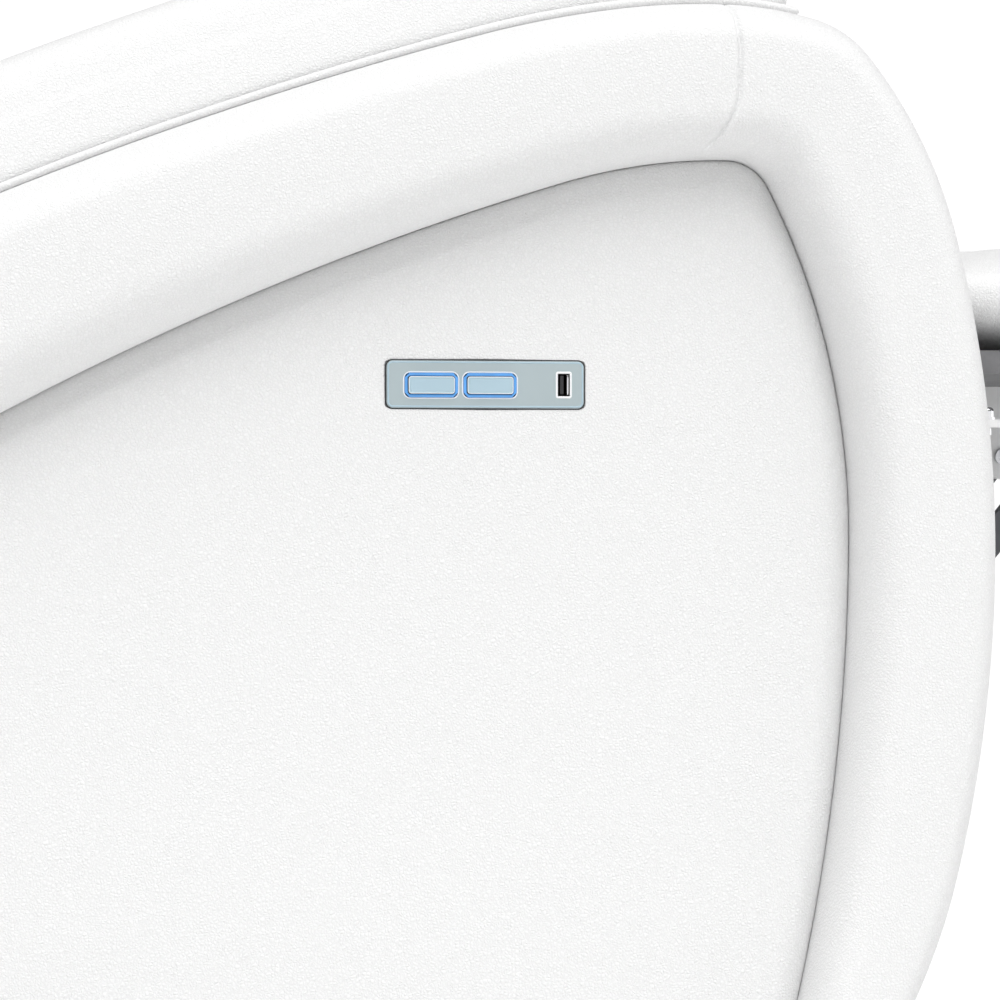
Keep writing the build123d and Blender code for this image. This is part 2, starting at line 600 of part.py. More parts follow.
def shaft_place(angle):
    """Where the struts' lower shaft is when the leg rest has turned by an angle."""
    top = turned(STRUT_TOP, LEG_PIVOT, angle)
    slope = radians(STRUT_SLOPE + STRUT_RATIO * angle)
    return (top[0] - STRUT_LENGTH * cos(slope), top[1] - STRUT_LENGTH * sin(slope))


STEPS = 12
SHAFT_PATH = [shaft_place(LEG_REST_TRAVEL * step / STEPS) for step in range(-1, STEPS + 2)]
SHAFT_REST, SHAFT_FOLDED = shaft_place(0), shaft_place(LEG_REST_TRAVEL)
YOKE_TRAVEL = SHAFT_FOLDED[0] - SHAFT_REST[0]
YOKE_DRIFT = [
    place[0] - SHAFT_REST[0] - YOKE_TRAVEL * (step - 1) / STEPS for step, place in enumerate(SHAFT_PATH)
][1:-1]
YOKE_CENTRE = SHAFT_REST[0] + (max(YOKE_DRIFT) + min(YOKE_DRIFT)) / 2
YOKE_SLOT = max(YOKE_DRIFT) - min(YOKE_DRIFT) + 2 * SHAFT + 2 * SLIDE_GAP


def strut_plane(y):
    """Sketch plane at y whose origin is the strut's top pin and whose x runs down the strut."""
    a = radians(STRUT_SLOPE)
    origin = (FRONT + STRUT_TOP[0], y, STRUT_TOP[1])
    return Plane(origin=origin, x_dir=(-cos(a), 0, -sin(a)), z_dir=(0, -1, 0))


STRUT_BOLT_PLACE = 95.0  # from the strut's top pin
STRUT_BOLT = 2.5

for name, side in (("right", -1), ("left", 1)):
    with BuildPart() as strut:
        far = side * STRUT_OFFSET + STRUT_THICKNESS / 2
        with BuildSketch(strut_plane(far)):
            with Locations((STRUT_LENGTH / 2, 0)):
                SlotCenterToCenter(STRUT_LENGTH, STRUT_WIDTH)
            with Locations((0, 0)):
                Circle(PIN + FIT, mode=Mode.SUBTRACT)
            with Locations((STRUT_LENGTH, 0)):
                Circle(SHAFT, mode=Mode.SUBTRACT)
            with Locations((STRUT_BOLT_PLACE, 0)):
                Circle(STRUT_BOLT, mode=Mode.SUBTRACT)
        extrude(amount=STRUT_THICKNESS)
    finish(strut.part, f"{name}_strut")

with BuildPart() as cross_shaft:
    half = GUIDE_OFFSET + GUIDE_THICKNESS / 2 + 4
    cross_rod(*SHAFT_REST, SHAFT, (-half, half))
finish(cross_shaft.part, "cross_shaft")

with BuildPart() as strut_bolt:
    a = radians(STRUT_SLOPE)
    x, z = STRUT_TOP[0] - STRUT_BOLT_PLACE * cos(a), STRUT_TOP[1] - STRUT_BOLT_PLACE * sin(a)
    outer, inner = -STRUT_OFFSET - STRUT_THICKNESS / 2, -STRUT_OFFSET + STRUT_THICKNESS / 2
    cross_rod(x, z, STRUT_BOLT, (outer, inner))
    cross_rod(x, z, 6.0, (outer - 1.2, outer))
    cross_rod(x, z, 4.2, (outer - 5, outer - 1.2))
    cross_rod(x, z, 5.0, (inner, inner + 3))
finish(strut_bolt.part, "strut_bolt")

GUIDE_FRONT = SHAFT_REST[0] + 2 * SHAFT
with BuildPart() as guide_plates:
    for side in (-1, 1):
        far = side * GUIDE_OFFSET + GUIDE_THICKNESS / 2
        with BuildSketch(side_plane(far)) as guide:
            with BuildLine():
                top_rear = (CROSS_TUBE_FRONTS[1] - TUBE, SEAT_RAIL_BOTTOM)
                top_front = (CROSS_TUBE_FRONTS[0], SEAT_RAIL_BOTTOM)
                Polyline(
                    top_rear,
                    top_front,
                    (GUIDE_FRONT, SHAFT_REST[1] + 50),
                    (GUIDE_FRONT, SHAFT_REST[1] - 36),
                    (SHAFT_FOLDED[0] + 60, SHAFT_REST[1] - 36),
                    (SHAFT_FOLDED[0] - 30, SHAFT_FOLDED[1] - 40),
                    close=True,
                )
            make_face()
            with BuildLine(mode=Mode.PRIVATE) as path:
                Spline(*SHAFT_PATH)
            slot_half = SHAFT + GUIDE_CLEARANCE
            trace(path.line, line_width=2 * slot_half, mode=Mode.SUBTRACT)
            with Locations(SHAFT_PATH[0], SHAFT_PATH[-1]):
                Circle(slot_half, mode=Mode.SUBTRACT)
        extrude(guide.sketch, amount=GUIDE_THICKNESS)
finish(guide_plates.part, "guide_plates")

# ------------------------------------------------------------------ actuators
ACTUATOR_Z = ACTUATOR_TUBE_TOP + 30
ROD = 10.0
YOKE_PLATE = 12.0
YOKE_WALL = 13.0
LEG_ROD_REAR = -360.0
GEARBOX_FRONT = UPRIGHT_FRONTS[1] - 4.0
GEARBOX_REAR = GEARBOX_FRONT - 70.0
LEG_TUBE_FRONT = CROSS_TUBE_FRONTS[1] - TUBE + 7.0
YOKE_X = (YOKE_CENTRE - YOKE_SLOT / 2 - YOKE_WALL, YOKE_CENTRE + YOKE_SLOT / 2 + YOKE_WALL)
YOKE_LOW = min(place[1] for place in SHAFT_PATH) - SHAFT - YOKE_CLEARANCE
YOKE_HIGH = SHAFT_FOLDED[1] + SHAFT + YOKE_CLEARANCE

with BuildPart() as leg_actuator:
    block((GEARBOX_REAR, GEARBOX_FRONT), (-32, 32), (ACTUATOR_TUBE_TOP, ACTUATOR_TUBE_TOP + 60))
    long_rod((GEARBOX_FRONT, LEG_TUBE_FRONT), 0, ACTUATOR_Z, 22.0)
    long_rod((GEARBOX_FRONT - 40, GEARBOX_FRONT + 90), 0, ACTUATOR_Z + 58, 24.0)
    block((GEARBOX_FRONT - 40, GEARBOX_FRONT - 10), (-20, 20), (ACTUATOR_Z + 20, ACTUATOR_Z + 50))
    long_rod((GEARBOX_REAR + 8, LEG_TUBE_FRONT), 0, ACTUATOR_Z, ROD + SLIDE_GAP, mode=Mode.SUBTRACT)
finish(leg_actuator.part, "leg_actuator")

with BuildPart() as leg_actuator_rod:
    long_rod((LEG_ROD_REAR, YOKE_X[0] + 2), 0, ACTUATOR_Z, ROD)
    block(YOKE_X, (-YOKE_PLATE / 2, YOKE_PLATE / 2), (YOKE_LOW - YOKE_WALL, YOKE_HIGH + YOKE_WALL))
    block(
        (YOKE_X[0] + YOKE_WALL, YOKE_X[1] - YOKE_WALL),
        (-YOKE_PLATE / 2, YOKE_PLATE / 2),
        (YOKE_LOW, YOKE_HIGH),
        mode=Mode.SUBTRACT,
    )
finish(leg_actuator_rod.part, "leg_actuator_rod")

LEVER_MIDDLE = (BACK_TRAVEL[0] + BACK_TRAVEL[1]) / 2
LEVER_PIN = turned((BACK_PIVOT[0], BACK_PIVOT[1] - LEVER), BACK_PIVOT, -LEVER_MIDDLE)
BACK_ACTUATOR_Z = LEVER_PIN[1]
BACK_SWING = (BACK_TRAVEL[1] - BACK_TRAVEL[0]) / 2
BACK_BODY = (CROSS_TUBE_FRONTS[2] - 10.0, CROSS_TUBE_FRONTS[1] - 10.0)
FORK_SLOT = 2 * PIN + 3.0
FORK_RISE = LEVER * (1 - cos(radians(BACK_SWING))) + PIN + 3
BACK_GEARBOX = 28.0
BACK_ROD = 8.0
BACK_TUBE = 18.0
with BuildPart() as back_actuator:
    y, z = LEVER_OFFSET, BACK_ACTUATOR_Z
    block(
        (BACK_BODY[1] - 60, BACK_BODY[1]),
        (y - BACK_GEARBOX, y + BACK_GEARBOX),
        (z - BACK_GEARBOX, z + BACK_GEARBOX),
    )
    long_rod((BACK_BODY[0], BACK_BODY[1] - 60), y, z, BACK_TUBE)
    long_rod((BACK_BODY[0], BACK_BODY[1] - 8), y, z, BACK_ROD + SLIDE_GAP, mode=Mode.SUBTRACT)
finish(back_actuator.part, "back_actuator")

with BuildPart() as back_actuator_rod:
    x, z = LEVER_PIN
    fork = (x - PIN - 8, x + PIN + 9)
    long_rod((fork[1], BACK_BODY[0] + 105), LEVER_OFFSET, BACK_ACTUATOR_Z, BACK_ROD)
    for near in (LEVER_OFFSET - 14, LEVER_OFFSET + 8):
        block(fork, (near, near + 6), (z - PIN - 8, z + FORK_RISE + 5))
    block((fork[1], fork[1] + 6), (LEVER_OFFSET - 14, LEVER_OFFSET + 14), (z - PIN - 8, z + PIN + 2))
    block(
        (x - FORK_SLOT / 2, x + FORK_SLOT / 2),
        (LEVER_OFFSET - 14, LEVER_OFFSET + 14),
        (z - PIN - 2, z + FORK_RISE),
        mode=Mode.SUBTRACT,
    )
finish(back_actuator_rod.part, "back_actuator_rod")

with BuildPart() as actuator_hangers:
    mid, rear = CROSS_TUBE_FRONTS[1] - TUBE, CROSS_TUBE_FRONTS[2]
    block((mid - 5, mid + 5), (-30, 30), (ACTUATOR_Z - 28, SEAT_RAIL_BOTTOM))
    long_rod((mid - 6, mid + 6), 0, ACTUATOR_Z, 22.0 + FIT, mode=Mode.SUBTRACT)
    block((mid, mid + 20), (LEVER_OFFSET - 22, LEVER_OFFSET + 22), (BACK_ACTUATOR_Z + 28, SEAT_RAIL_BOTTOM))
    block((rear - 10, rear), (LEVER_OFFSET - 22, LEVER_OFFSET + 22), (BACK_ACTUATOR_Z - 22, SEAT_RAIL_BOTTOM))
    long_rod((rear - 11, rear + 1), LEVER_OFFSET, BACK_ACTUATOR_Z, 18.0 + FIT, mode=Mode.SUBTRACT)
finish(actuator_hangers.part, "actuator_hangers")


# ------------------------------------------------------------------ backrest
def back_plane(y):
    """Sketch plane at y: origin at the back's pivot, x up along the back, y out of its front."""
    a = radians(BACK_REST_ANGLE)
    origin = (FRONT + BACK_PIVOT[0], y, BACK_PIVOT[1])
    return Plane(origin=origin, x_dir=(-sin(a), 0, cos(a)), z_dir=(0, 1, 0))


def back_block(along, out, y, mode=Mode.ADD):
    """A box in the reclined back: limits up the back, out of its front, and across."""
    with BuildSketch(back_plane(y[0])) as base:
        with Locations(((along[0] + along[1]) / 2, (out[0] + out[1]) / 2)):
            Rectangle(along[1] - along[0], out[1] - out[0])
    extrude(base.sketch, amount=y[1] - y[0], mode=mode)


def back_rod(along, y, radius, mode=Mode.ADD):
    """A round bar up the back, on the tubes' centre line."""
    start = back_plane(y)
    end = Plane(origin=start.origin + start.x_dir * along[0], x_dir=(0, 1, 0), z_dir=start.x_dir)
    with BuildSketch(end) as base:
        Circle(radius)
    extrude(base.sketch, amount=along[1] - along[0], mode=mode)


BACK_OUT = Axis((0, 0, 0), back_plane(0).y_dir)
HALF = TUBE / 2
BACK_TUBE_Y = (RAIL_IN - 2 - TUBE, RAIL_IN - 2)
BACK_CROSS_STARTS = (BACK_START + 10, BACK_TOP - 200, BACK_TOP - 60)
SLEEVE = POST + 3.0
SLEEVE_START = BACK_CROSS_STARTS[1] + TUBE
BOARD_START = BACK_START - 30

with BuildPart() as back_frame:
    for side in (-1, 1):
        y = sorted((side * BACK_TUBE_Y[0], side * BACK_TUBE_Y[1]))
        back_block((-HALF - 3, BACK_TOP), (-HALF, HALF), y)
        cross_rod(*BACK_PIVOT, SHAFT, y, mode=Mode.SUBTRACT)
finish(back_frame.part, "back_frame")

with BuildPart() as back_cross_tubes:
    for start in BACK_CROSS_STARTS:
        back_block((start, start + TUBE), (-HALF, HALF), (-BACK_TUBE_Y[0], BACK_TUBE_Y[0]))
    for side in (-1, 1):
        back_rod((SLEEVE_START, BACK_TOP - 2), side * POST_OFFSET, SLEEVE)
        back_rod((SLEEVE_START, BACK_TOP), side * POST_OFFSET, POST + FIT, mode=Mode.SUBTRACT)
finish(back_cross_tubes.part, "back_cross_tubes")

with BuildPart() as back_pivot_shaft:
    cross_rod(*BACK_PIVOT, 14.0, (-BACK_TUBE_Y[0], BACK_TUBE_Y[0]))
    end = BACK_BRACKET_IN + BRACKET + 3
    cross_rod(*BACK_PIVOT, SHAFT, (-end, end))
    lever_y = (LEVER_OFFSET - 4, LEVER_OFFSET + 4)
    with BuildSketch(side_plane(lever_y[1])) as lever:
        with Locations(((BACK_PIVOT[0] + LEVER_PIN[0]) / 2, (BACK_PIVOT[1] + LEVER_PIN[1]) / 2)):
            SlotCenterToCenter(LEVER, 24.0, rotation=90 - LEVER_MIDDLE)
    extrude(lever.sketch, amount=lever_y[1] - lever_y[0])
    cross_rod(*LEVER_PIN, PIN, (LEVER_OFFSET - 16, LEVER_OFFSET + 16))
finish(back_pivot_shaft.part, "back_pivot_shaft")

with BuildPart() as back_board:
    back_block((BOARD_START, BACK_TOP), (HALF, BACK_FACE), (8 - BACK_WIDTH / 2, BACK_WIDTH / 2 - 8))
finish(back_board.part, "back_board")

with BuildPart() as back_cushion:
    half = BACK_WIDTH / 2
    back_block((BACK_START, BACK_TOP), (BACK_FACE, BACK_FACE + BACK_CUSHION), (-half, half))
    fillet(back_cushion.edges().filter_by(BACK_OUT), 30.0)
    front = back_cushion.faces().filter_by(BACK_OUT).sort_by(BACK_OUT)[-1]
    fillet(front.edges(), 22.0)
finish(back_cushion.part, "back_cushion")

with BuildPart() as back_shell:
    half = BACK_WIDTH / 2 - SHELL_INSET
    tray = (BOARD_START, BACK_TOP + SHELL_WALL)
    back_block(tray, (-SHELL_REAR, BACK_FACE - SOFT_GAP), (-half, half))
    rear = back_shell.faces().filter_by(BACK_OUT).sort_by(BACK_OUT)[0]
    fillet(rear.edges().filter_by(GeomType.LINE).filter_by(Axis.Y, reverse=True), SHELL_EDGE)
    room = (-SHELL_REAR + SHELL_WALL, BACK_FACE + 1)
    inside = half - SHELL_WALL
    back_block((BOARD_START - 1, BACK_TOP), room, (-inside, inside), mode=Mode.SUBTRACT)
    for side in (-1, 1):
        back_rod((BACK_TOP - 1, tray[1] + 1), side * POST_OFFSET, POST + SLIDE_GAP, mode=Mode.SUBTRACT)
finish(back_shell.part, "back_shell")

with BuildPart() as headrest_frame:
    half = HEADREST_WIDTH / 2 - 25
    back_block((HEADREST_START, HEADREST_CORE_TOP), HEADREST_CORE, (-half, half))
    for side in (-1, 1):
        back_rod((SLEEVE_START + 12, HEADREST_START), side * POST_OFFSET, POST)
finish(headrest_frame.part, "headrest_frame")

with BuildPart() as headrest_pad:
    top = HEADREST_START + HEADREST_HEIGHT
    out_limits = (HEADREST_CORE[1], HEADREST_CORE[1] + HEADREST_PAD)
    back_block((HEADREST_START, top), out_limits, (-HEADREST_WIDTH / 2, HEADREST_WIDTH / 2))
    fillet(headrest_pad.edges().filter_by(BACK_OUT), 30.0)
    front = headrest_pad.faces().filter_by(BACK_OUT).sort_by(BACK_OUT)[-1]
    fillet(front.edges(), 24.0)
finish(headrest_pad.part, "headrest_pad")

# ------------------------------------------------------------------ foot basin drawer
BASIN_X = (BASE_FRONT - BASIN_LENGTH, BASE_FRONT)
BASIN_Y = BASIN_WIDTH / 2
BASIN_RIM = BASIN_BOTTOM + BASIN_DEPTH
SLIDE_Z = (RAIL_TOP - 20, RAIL_TOP - 2)
SLIDE_SPLIT = (RAIL_IN + BASIN_Y) / 2 + 1
DRAWER_TRAVEL = 330.0
DRAIN_X = BASE_FRONT - BASIN_LENGTH / 2

with BuildPart() as foot_basin:
    block(BASIN_X, (-BASIN_Y, BASIN_Y), (BASIN_BOTTOM, BASIN_RIM))
    fillet(foot_basin.edges().filter_by(Axis.Z), 40.0)
    hollow_x = (BASIN_X[0] + BASIN_WALL, BASIN_X[1] - BASIN_WALL)
    with BuildSketch(Plane.XY.offset(BASIN_BOTTOM + BASIN_WALL)) as hollow:
        with Locations((FRONT + DRAIN_X, 0)):
            RectangleRounded(hollow_x[1] - hollow_x[0], BASIN_WIDTH - 2 * BASIN_WALL, 36.0)
    extrude(hollow.sketch, amount=BASIN_DEPTH, mode=Mode.SUBTRACT)
    post(DRAIN_X, 0, DRAIN, (BASIN_BOTTOM, BASIN_BOTTOM + BASIN_WALL), mode=Mode.SUBTRACT)
finish(foot_basin.part, "foot_basin")

with BuildPart() as basin_front:
    block(
        (BASE_FRONT + SLIDE_GAP, BASE_FRONT + BASIN_FRONT_PANEL),
        (-RAIL_OUT - 10, RAIL_OUT + 10),
        (RAIL_BOTTOM - 20, BASIN_RIM + 2),
    )
    block(
        (BASE_FRONT + 6, BASE_FRONT + BASIN_FRONT_PANEL),
        (-GRIP / 2, GRIP / 2),
        (BASIN_RIM - 20, BASIN_RIM + 2),
        mode=Mode.SUBTRACT,
    )
finish(basin_front.part, "basin_front")

with BuildPart() as fixed_slides:
    pair((BASE_FRONT - BASIN_LENGTH - 20, BASE_FRONT - 10), (SLIDE_SPLIT, RAIL_IN), SLIDE_Z)
    pair(
        (BASE_FRONT - BASIN_LENGTH - 12, BASE_FRONT - 10),
        (SLIDE_SPLIT, SLIDE_SPLIT + 6),
        (SLIDE_Z[0] + 4, SLIDE_Z[1] - 4),
        mode=Mode.SUBTRACT,
    )
finish(fixed_slides.part, "fixed_slides")

with BuildPart() as moving_slides:
    pair(
        (BASE_FRONT - BASIN_LENGTH + 2, BASE_FRONT - 12),
        (BASIN_Y, SLIDE_SPLIT + 5),
        (SLIDE_Z[0] + 4 + SLIDE_GAP, SLIDE_Z[1] - 4 - SLIDE_GAP),
    )
finish(moving_slides.part, "moving_slides")

with BuildPart() as drain_plug:
    floor = BASIN_BOTTOM + BASIN_WALL
    post(DRAIN_X, 0, DRAIN - SLIDE_GAP, (BASIN_BOTTOM, floor + SLIDE_GAP))
    post(DRAIN_X, 0, DRAIN + 4, (floor + SLIDE_GAP, floor + 5))
    post(DRAIN_X, 0, 8.0, (floor + 5, floor + 16))
finish(drain_plug.part, "drain_plug")

with BuildPart() as jet_nozzles:
    wall = BASIN_Y - BASIN_WALL
    for x in (DRAIN_X - 90, DRAIN_X + 90):
        for near, far in ((-wall, JET - wall), (wall - JET, wall)):
            cross_rod(x, BASIN_BOTTOM + 45, 16.0, (near, far))
finish(jet_nozzles.part, "jet_nozzles")
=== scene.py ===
"""Pedicure spa chair: upholstery, trim and finishes, built around the chair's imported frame.

Metres. +X is the front, +Z is up and the floor is z = 0. Places come from the frame's own nodes,
and the arms' outlines repeat the arcs of the CAD source.
"""

import json

import bmesh
import bpy
import numpy as np
from bpy.props import FloatProperty, FloatVectorProperty, PointerProperty
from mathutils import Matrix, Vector


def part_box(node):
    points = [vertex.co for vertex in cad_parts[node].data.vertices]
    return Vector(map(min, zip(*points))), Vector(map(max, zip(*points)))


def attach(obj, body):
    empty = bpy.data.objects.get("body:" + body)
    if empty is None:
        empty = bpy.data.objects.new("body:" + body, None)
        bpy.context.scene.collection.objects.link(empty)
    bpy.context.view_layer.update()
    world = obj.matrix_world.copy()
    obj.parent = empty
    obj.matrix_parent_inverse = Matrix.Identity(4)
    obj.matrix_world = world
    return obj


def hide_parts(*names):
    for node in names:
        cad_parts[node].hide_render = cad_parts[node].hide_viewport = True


bl_info = {
    "name": "Pedicure Spa Chair Finish",
    "version": (1, 0, 0),
    "blender": (4, 5, 0),
    "location": "View3D > Sidebar > Spa Chair",
    "description": "Upholstery, trim and finishes built around the chair's packed frame",
    "category": "Add Mesh",
}

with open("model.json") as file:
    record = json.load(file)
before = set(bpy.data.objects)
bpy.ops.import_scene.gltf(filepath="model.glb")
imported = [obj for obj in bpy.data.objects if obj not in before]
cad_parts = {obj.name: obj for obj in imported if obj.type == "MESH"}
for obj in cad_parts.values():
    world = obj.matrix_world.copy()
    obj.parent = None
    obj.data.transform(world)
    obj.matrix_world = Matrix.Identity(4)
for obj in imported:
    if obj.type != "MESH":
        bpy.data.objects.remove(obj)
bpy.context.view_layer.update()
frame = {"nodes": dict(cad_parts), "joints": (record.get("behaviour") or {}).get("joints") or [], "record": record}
SLOTS = {part["node"]: part["material_slot"] for part in frame["record"]["subparts"]}
SIDES = {"right": -1.0, "left": 1.0}
MM = 0.001

# An outline's arcs all turn clockwise, as (radius, turn in degrees), either side of its peak.
# A peak is (distance from the arms' front edge, height). The turns are listed; the peaks
# and the front and rear radii were fitted by least squares, as in the CAD source.
SLAB_ARCS = {
    "peak": (-0.1712, 0.7837),
    "rear": [(2.418, 12.0), (0.642, 7.5), (0.435, 8.0)],
    "front": [(0.2397, 14.0), (0.0644, 36.0), (0.2738, 25.0), (0.7374, 15.0), (0.8101, 14.0),
              (0.3744, 12.0)],
    "corner": (0.225, 60.0),
    "bottom_turn": 27.0,
}
CREASE_ARCS = {
    "peak": (-0.161, 0.6923),
    "rear": [(1.874, 15.0), (0.3426, 17.0)],
    "front": [(0.0294, 62.0), (0.4226, 12.0), (0.4549, 16.0), (1.2364, 13.0)],
    "corner": (0.075, 74.0),
    "bottom_turn": 24.0,
}


def node_box(name):
    """A node's lowest and highest corners as arrays."""
    low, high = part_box(name)
    return np.array(low), np.array(high)


ARM_FRONT = node_box("right_arm_roll")[1][0] - 0.4 * MM
ARM_IN, CORE_IN = (-node_box("right_arm_inner_pad")[k][1] for k in (1, 0))
ARM_OUT = -node_box("right_arm_roll")[0][1]
FIELD_IN, FIELD_OUT = (-node_box("right_arm_field")[k][1] for k in (1, 0))


# ------------------------------------------------------------------ sizes and colours
class ChairArmSizes(bpy.types.PropertyGroup):
    """Shape of the arms' padding"""

    outer_shoulder: FloatProperty(
        name="Outer Shoulder",
        description="Width of the roll's rounded outer edge, as a share of the roll",
        default=0.25, min=0.1, max=0.6, subtype="FACTOR")
    inner_shoulder: FloatProperty(
        name="Inner Shoulder",
        description="Width of the roll's slope down to the field, as a share of the roll",
        default=0.38, min=0.1, max=0.6, subtype="FACTOR")
    roll_crown: FloatProperty(
        name="Roll Crown", description="How far the roll's face swells between its shoulders",
        default=0.5 * MM, unit="LENGTH")
    rim_height: FloatProperty(
        name="Rim Height", description="Depth of the roll's outer shoulder",
        default=37 * MM, unit="LENGTH")
    seam_depth: FloatProperty(
        name="Seam Depth", description="Depth of the sewn seams across the roll",
        default=2.2 * MM, unit="LENGTH")
    seam_width: FloatProperty(
        name="Seam Width", description="Half the width of a sewn seam's groove",
        default=1.6 * MM, unit="LENGTH")
    field_edge: FloatProperty(
        name="Field Edge", description="Width of the field's rounded edge",
        default=18 * MM, unit="LENGTH")
    field_drop: FloatProperty(
        name="Field Drop", description="How far the field's edge drops into the crease",
        default=9 * MM, unit="LENGTH")
    field_swell: FloatProperty(
        name="Field Swell", description="How far the field's padding swells round the control plate",
        default=2.3 * MM, unit="LENGTH")
    piping: FloatProperty(
        name="Piping", description="Diameter of the piping along the arm's top edge",
        default=5.4 * MM, unit="LENGTH")
    pad_squareness: FloatProperty(
        name="Pad Squareness",
        description="Exponent of the top pad's section: 2 is an ellipse, more is squarer",
        default=4.2, min=2.0, max=12.0)
    pad_lean: FloatProperty(
        name="Pad Lean",
        description="How much narrower the top pad is at its top, as a share of its width",
        default=0.3, min=0.0, max=0.5, subtype="FACTOR")


class ChairCushionSizes(bpy.types.PropertyGroup):
    """Shape of the loose cushions"""

    voxel: FloatProperty(
        name="Voxel", description="Mesh size that a cushion is inflated at",
        default=6.5 * MM, unit="LENGTH")
    pressure: FloatProperty(
        name="Pressure", description="Pressure that fills a cushion's cover", default=4.0)
    swell: FloatProperty(
        name="Swell", description="Furthest that the cover may move as it fills",
        default=24 * MM, unit="LENGTH")
    inset: FloatProperty(
        name="Inset", description="How much smaller a cushion starts", default=9 * MM, unit="LENGTH")
    channel_depth: FloatProperty(
        name="Channel Depth", description="Depth of the sewn channels", default=9 * MM, unit="LENGTH")
    channel_sharpness: FloatProperty(
        name="Channel Sharpness",
        description="Exponent of the padding between channels: more is a narrower seam",
        default=7.0, min=2.0, max=20.0)


class ChairFinishes(bpy.types.PropertyGroup):
    """Colours and grain of the chair's materials"""

    leather: FloatVectorProperty(
        name="Leather", description="Upholstery colour", subtype="COLOR",
        default=(0.80, 0.80, 0.80), min=0.0, max=1.0)
    grain_size: FloatProperty(
        name="Grain Size", description="Width of one pebble of the leather's grain",
        default=2.1 * MM, unit="LENGTH")
    grain_depth: FloatProperty(
        name="Grain Depth", description="Depth of the leather's grain",
        default=0.28 * MM, unit="LENGTH")
    plate: FloatVectorProperty(
        name="Control Plate", description="Colour of the control plate", subtype="COLOR",
        default=(0.39, 0.46, 0.48), min=0.0, max=1.0)
    ring: FloatVectorProperty(
        name="Lit Ring", description="Colour of the ring round each button", subtype="COLOR",
        default=(0.095, 0.30, 0.66), min=0.0, max=1.0)
    button: FloatVectorProperty(
        name="Button", description="Colour of the button caps", subtype="COLOR",
        default=(0.40, 0.54, 0.62), min=0.0, max=1.0)


class ChairStageSizes(bpy.types.PropertyGroup):
    """Camera, lights and floor"""

    turn: FloatProperty(
        name="Turn",
        description="The camera's heading, from straight at the right side towards the front",
        default=np.radians(12.0), subtype="ANGLE")
    lens: FloatProperty(
        name="Lens", description="The camera's focal length in millimetres", default=153.0)
    behind: FloatProperty(
        name="Behind", description="The camera's place behind the arms' front edge",
        default=0.821455, unit="LENGTH")
    aside: FloatProperty(
        name="Aside", description="The camera's distance from the chair's middle",
        default=2.840369, unit="LENGTH")
    height: FloatProperty(
        name="Height", description="The camera's height", default=0.489235, unit="LENGTH")
    floor: FloatProperty(name="Floor", description="Width of the floor", default=160.0, unit="LENGTH")
    sky: FloatProperty(
        name="Sky", description="Brightness of the surroundings above the white walls", default=0.20)
    walls: FloatProperty(
        name="Walls", description="Brightness of the white walls round the floor", default=1.05)
    wall_top: FloatProperty(
        name="Wall Top", description="Height of the white walls, as an angle from the floor",
        default=np.radians(8.0), subtype="ANGLE")
    key: FloatProperty(name="Key", description="Strength of the large soft light above", default=3.1)
    key_rise: FloatProperty(
        name="Key Rise", description="How high the large soft light stands",
        default=np.radians(64.0), subtype="ANGLE")
    key_turn: FloatProperty(
        name="Key Turn",
        description="The large soft light's heading, from the right side towards the front",
        default=np.radians(-4.0), subtype="ANGLE")
    fill: FloatProperty(
        name="Fill", description="Strength of the weak light low in front", default=0.38)
    fill_rise: FloatProperty(
        name="Fill Rise", description="How high the weak light stands",
        default=np.radians(10.0), subtype="ANGLE")
    fill_turn: FloatProperty(
        name="Fill Turn", description="The weak light's heading, from the right side towards the front",
        default=np.radians(85.0), subtype="ANGLE")
    light_width: FloatProperty(
        name="Light Width", description="How wide both lights look",
        default=np.radians(48.0), subtype="ANGLE")


GROUPS = {
    "chair_arm": ChairArmSizes,
    "chair_cushion": ChairCushionSizes,
    "chair_finish": ChairFinishes,
    "chair_stage": ChairStageSizes,
}


# ------------------------------------------------------------------ outlines
def arc_step(heading, turn):
    """The step along a clockwise arc of radius one, from its first heading through its turn."""
    after = heading - turn
    return np.array([np.sin(heading) - np.sin(after), np.cos(after) - np.cos(heading)])


